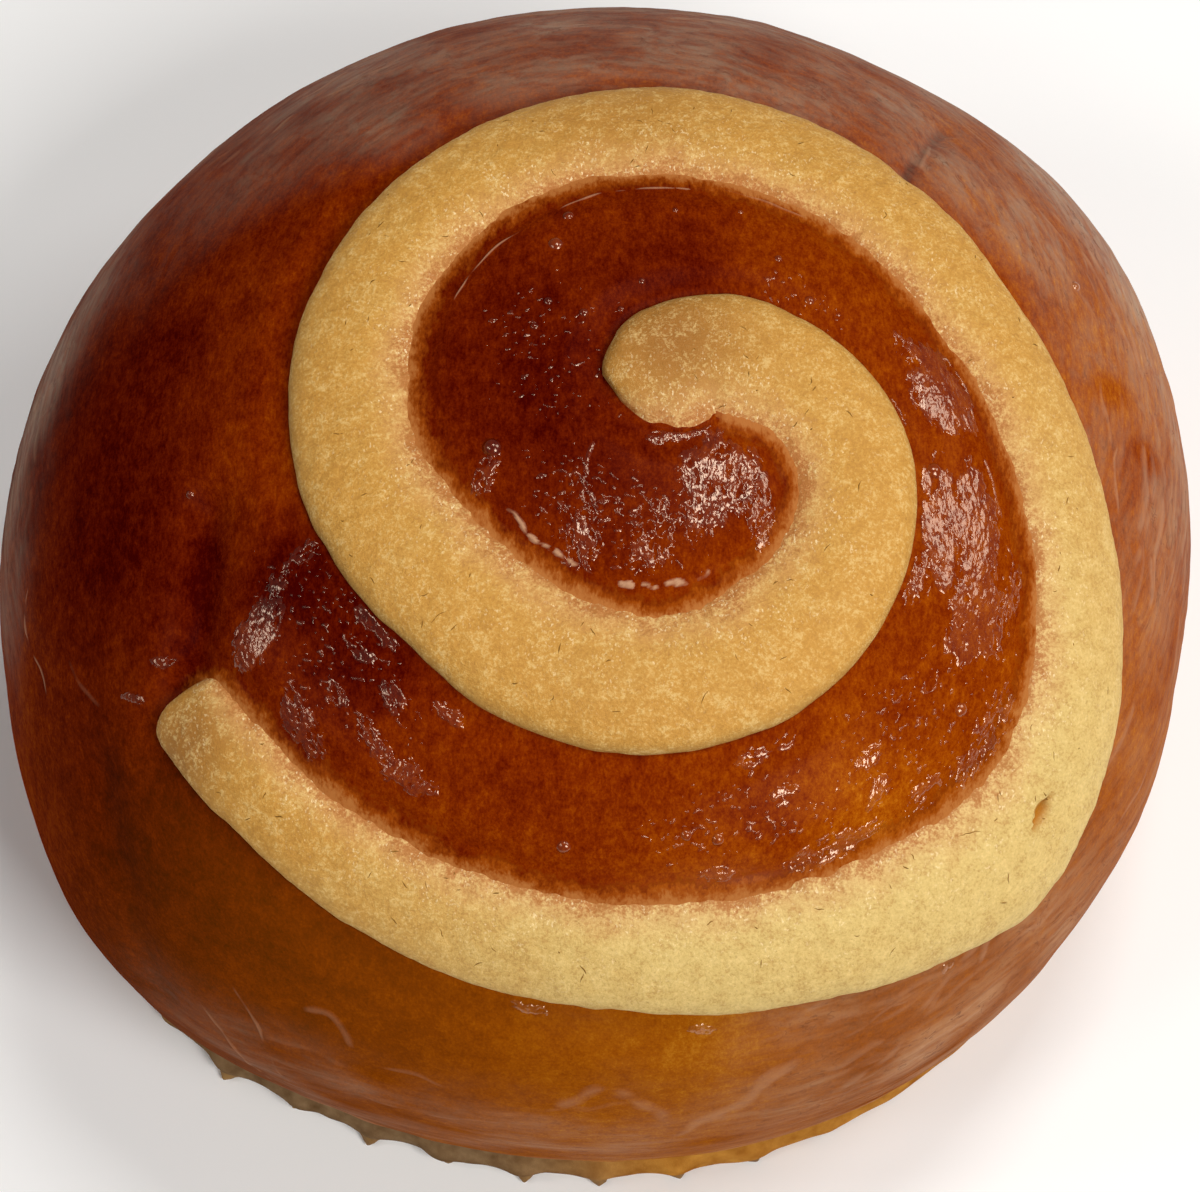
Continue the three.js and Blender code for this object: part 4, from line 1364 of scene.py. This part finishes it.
def custard_finish():
    """Baked custard cream: matte, finely grained, tan inside and paler yellow outside."""
    custard = Finish("baked_custard")
    share = custard.mark("share")
    travelled = custard.mark("travelled")

    clouds = custard.grain(4.0, 4.0, shift=2.0)
    blotches = custard.grain(1.3, 3.0, shift=12.0)
    grains = custard.grain(0.30, 3.0, roughness=0.75)
    yellow = travelled.between(0.56, 0.72) * (1.0 - travelled.between(0.82, 0.96))
    yellow = yellow + (clouds - 0.5) * 0.5

    ragged = share + (clouds - 0.5) * 0.6 + (grains - 0.5) * 0.7 + (blotches - 0.5) * 0.4
    inner_fade = 1.0 - ragged.between(-0.95, -0.25)
    inner_crust = 1.0 - ragged.between(-1.0, -0.70)
    # The custard's outer rim is painted greyer: painted shade where it rolls down to the crust.
    painted_rim_shade = share.between(0.80, 1.0)

    level = (grains - 0.5) * 1.0 + (blotches - 0.5) * 0.6
    dark = 1.0 - level.between(-0.22, 0.02)
    light = level.between(-0.02, 0.24)
    patchy = custard.grain(2.2, 2.0, shift=15.0).between(0.42, 0.62)
    # Pale flecks, most toward the inner edge: painted glints, with a little real gloss as well.
    flecks = custard.grain(0.22, 2.0, (1.0, 1.5, 1.0), shift=9.0).between(0.58, 0.70) * patchy
    inward = 1.2 - share.between(-1.0, 0.9)
    pores = 1.0 - custard.grain(0.30, 2.0, shift=17.0).between(0.26, 0.36)

    colour = custard.layers(
        custard.mix(yellow, tint(199, 145, 61), tint(213, 182, 110)),
        (custard.mark("toast") * 0.8, tint(150, 94, 30)),
        (inner_fade * 0.65, tint(204, 150, 94)),
        (inner_crust * 0.80, tint(172, 100, 42)),
        (painted_rim_shade * 0.35, tint(176, 146, 88)),
        (dark * 0.42, tint(166, 112, 44)),
        (light * 0.50, tint(237, 205, 136)),
        (flecks * inward * 0.6, tint(252, 228, 176)),
        (pores * 0.35, tint(150, 104, 40)),
        (custard.mark("slit"), tint(172, 108, 12)),
    )
    relief = custard.bump(grains, 0.10)
    relief = custard.bump(custard.grain(0.8, 2.0, shift=4.0), 0.08, relief)
    return custard.close(
        Base_Color=colour,
        Roughness=0.66 - flecks * 0.3,
        Specular_IOR_Level=0.3,
        Normal=relief,
    )


# ------------------------------------------------------------------ making the bun

Part("crust", build_crust(), crust_finish(), "bun", "crust")
Part("crust_creases", build_creases(), crease_finish(), "bun", "crust")
Part("glaze_skin", build_skin(), skin_finish(), "bun", "crust")
Part("foot_crumbs", build_crumbs(), crumb_finish(), "bun", "crust")
custard_mesh = build_custard()
Part("custard", custard_mesh, custard_finish(), "custard_swirl", "custard")
Part("custard_cracks", build_cracks(custard_mesh), crack_shade_finish(), "custard_swirl", "custard")


# ------------------------------------------------------------------ camera, floor and light

# The photograph's camera, found from the bun's outline and the spiral's foreshortening.
ELEVATION = math.radians(67.0)
DISTANCE = 330.0
AIM_HEIGHT = 25.0
PICTURE_WIDTH = 1200.0
PICTURE_SCALE = 3717.4  # pixels of the picture at unit distance
PICTURE_SHIFT = (2.0, -38.5)  # pixels by which the camera looks to the right and up of its aim
SENSOR_WIDTH = 36.0


def place_camera():
    """Looks down at the bun from in front, as the photograph does."""
    forward = Vector((0.0, math.cos(ELEVATION), -math.sin(ELEVATION)))
    upward = Vector((0.0, math.sin(ELEVATION), math.cos(ELEVATION)))
    spot = Vector((0.0, 0.0, AIM_HEIGHT)) - forward * DISTANCE
    right, up = (part / PICTURE_SCALE for part in PICTURE_SHIFT)
    look = (forward + Vector((1.0, 0.0, 0.0)) * right + upward * up).normalized()
    camera = bpy.data.objects.new("camera", bpy.data.cameras.new("camera"))
    bpy.context.scene.collection.objects.link(camera)
    camera.data.lens = SENSOR_WIDTH * PICTURE_SCALE / PICTURE_WIDTH
    camera.data.clip_start = 0.01
    camera.location = (spot - Vector(MIDDLE)) * MM
    camera.rotation_mode = "QUATERNION"
    camera.rotation_quaternion = look.to_track_quat("-Z", "Y")
    bpy.context.scene.camera = camera


WARM = (1.0, 0.98, 0.95)
LIT_POINT = Vector((0.0, 0.0, 0.03))  # in metres
# Square soft lights: direction, then distance and size in metres, and power in watts.
LIGHTS = {
    "overhead": ((0.17, 0.28, 0.93), 0.6, 0.15, 1.0),
    "left": ((-0.74, -0.08, 0.68), 0.7, 0.14, 0.55),
    "front_left": ((-0.56, -0.34, 0.76), 0.7, 0.12, 0.42),
    "right": ((0.68, 0.24, 0.66), 0.7, 0.24, 1.2),
    "front_right": ((0.44, -0.50, 0.72), 0.7, 0.24, 2.95),
}


def soft_light(name, direction, distance, size, power):
    """A square, slightly warm light that faces the bun."""
    light = bpy.data.lights.new(name, "AREA")
    light.size = size
    light.energy = power
    light.color = WARM
    lamp = bpy.data.objects.new(name, light)
    bpy.context.scene.collection.objects.link(lamp)
    toward = Vector(direction).normalized()
    lamp.location = toward * distance + LIT_POINT
    lamp.rotation_mode = "QUATERNION"
    lamp.rotation_quaternion = (-toward).to_track_quat("-Z", "Y")


FLOOR_REACH = 3.0


def lay_floor():
    mesh = bpy.data.meshes.new("floor")
    quarters = ((-1, -1), (1, -1), (1, 1), (-1, 1))
    corners = [(x * FLOOR_REACH, y * FLOOR_REACH, 0.0) for x, y in quarters]
    mesh.from_pydata(corners, [], [(0, 1, 2, 3)])
    floor = bpy.data.objects.new("floor", mesh)
    bpy.context.scene.collection.objects.link(floor)
    paint = Finish("pale_floor")
    paint.tree.nodes.remove(paint.place.socket.node)
    mesh.materials.append(paint.close(Base_Color=tint(250, 250, 250), Roughness=0.9))


place_camera()
lay_floor()
for light_name, light_facts in LIGHTS.items():
    soft_light(light_name, *light_facts)

world = bpy.data.worlds.new("studio")
bpy.context.scene.world = world
world.use_nodes = True
backdrop = world.node_tree.nodes["Background"]
backdrop.inputs["Color"].default_value = (1.0, 1.0, 1.0, 1.0)
backdrop.inputs["Strength"].default_value = 0.13
bpy.context.scene.view_settings.view_transform = "Standard"
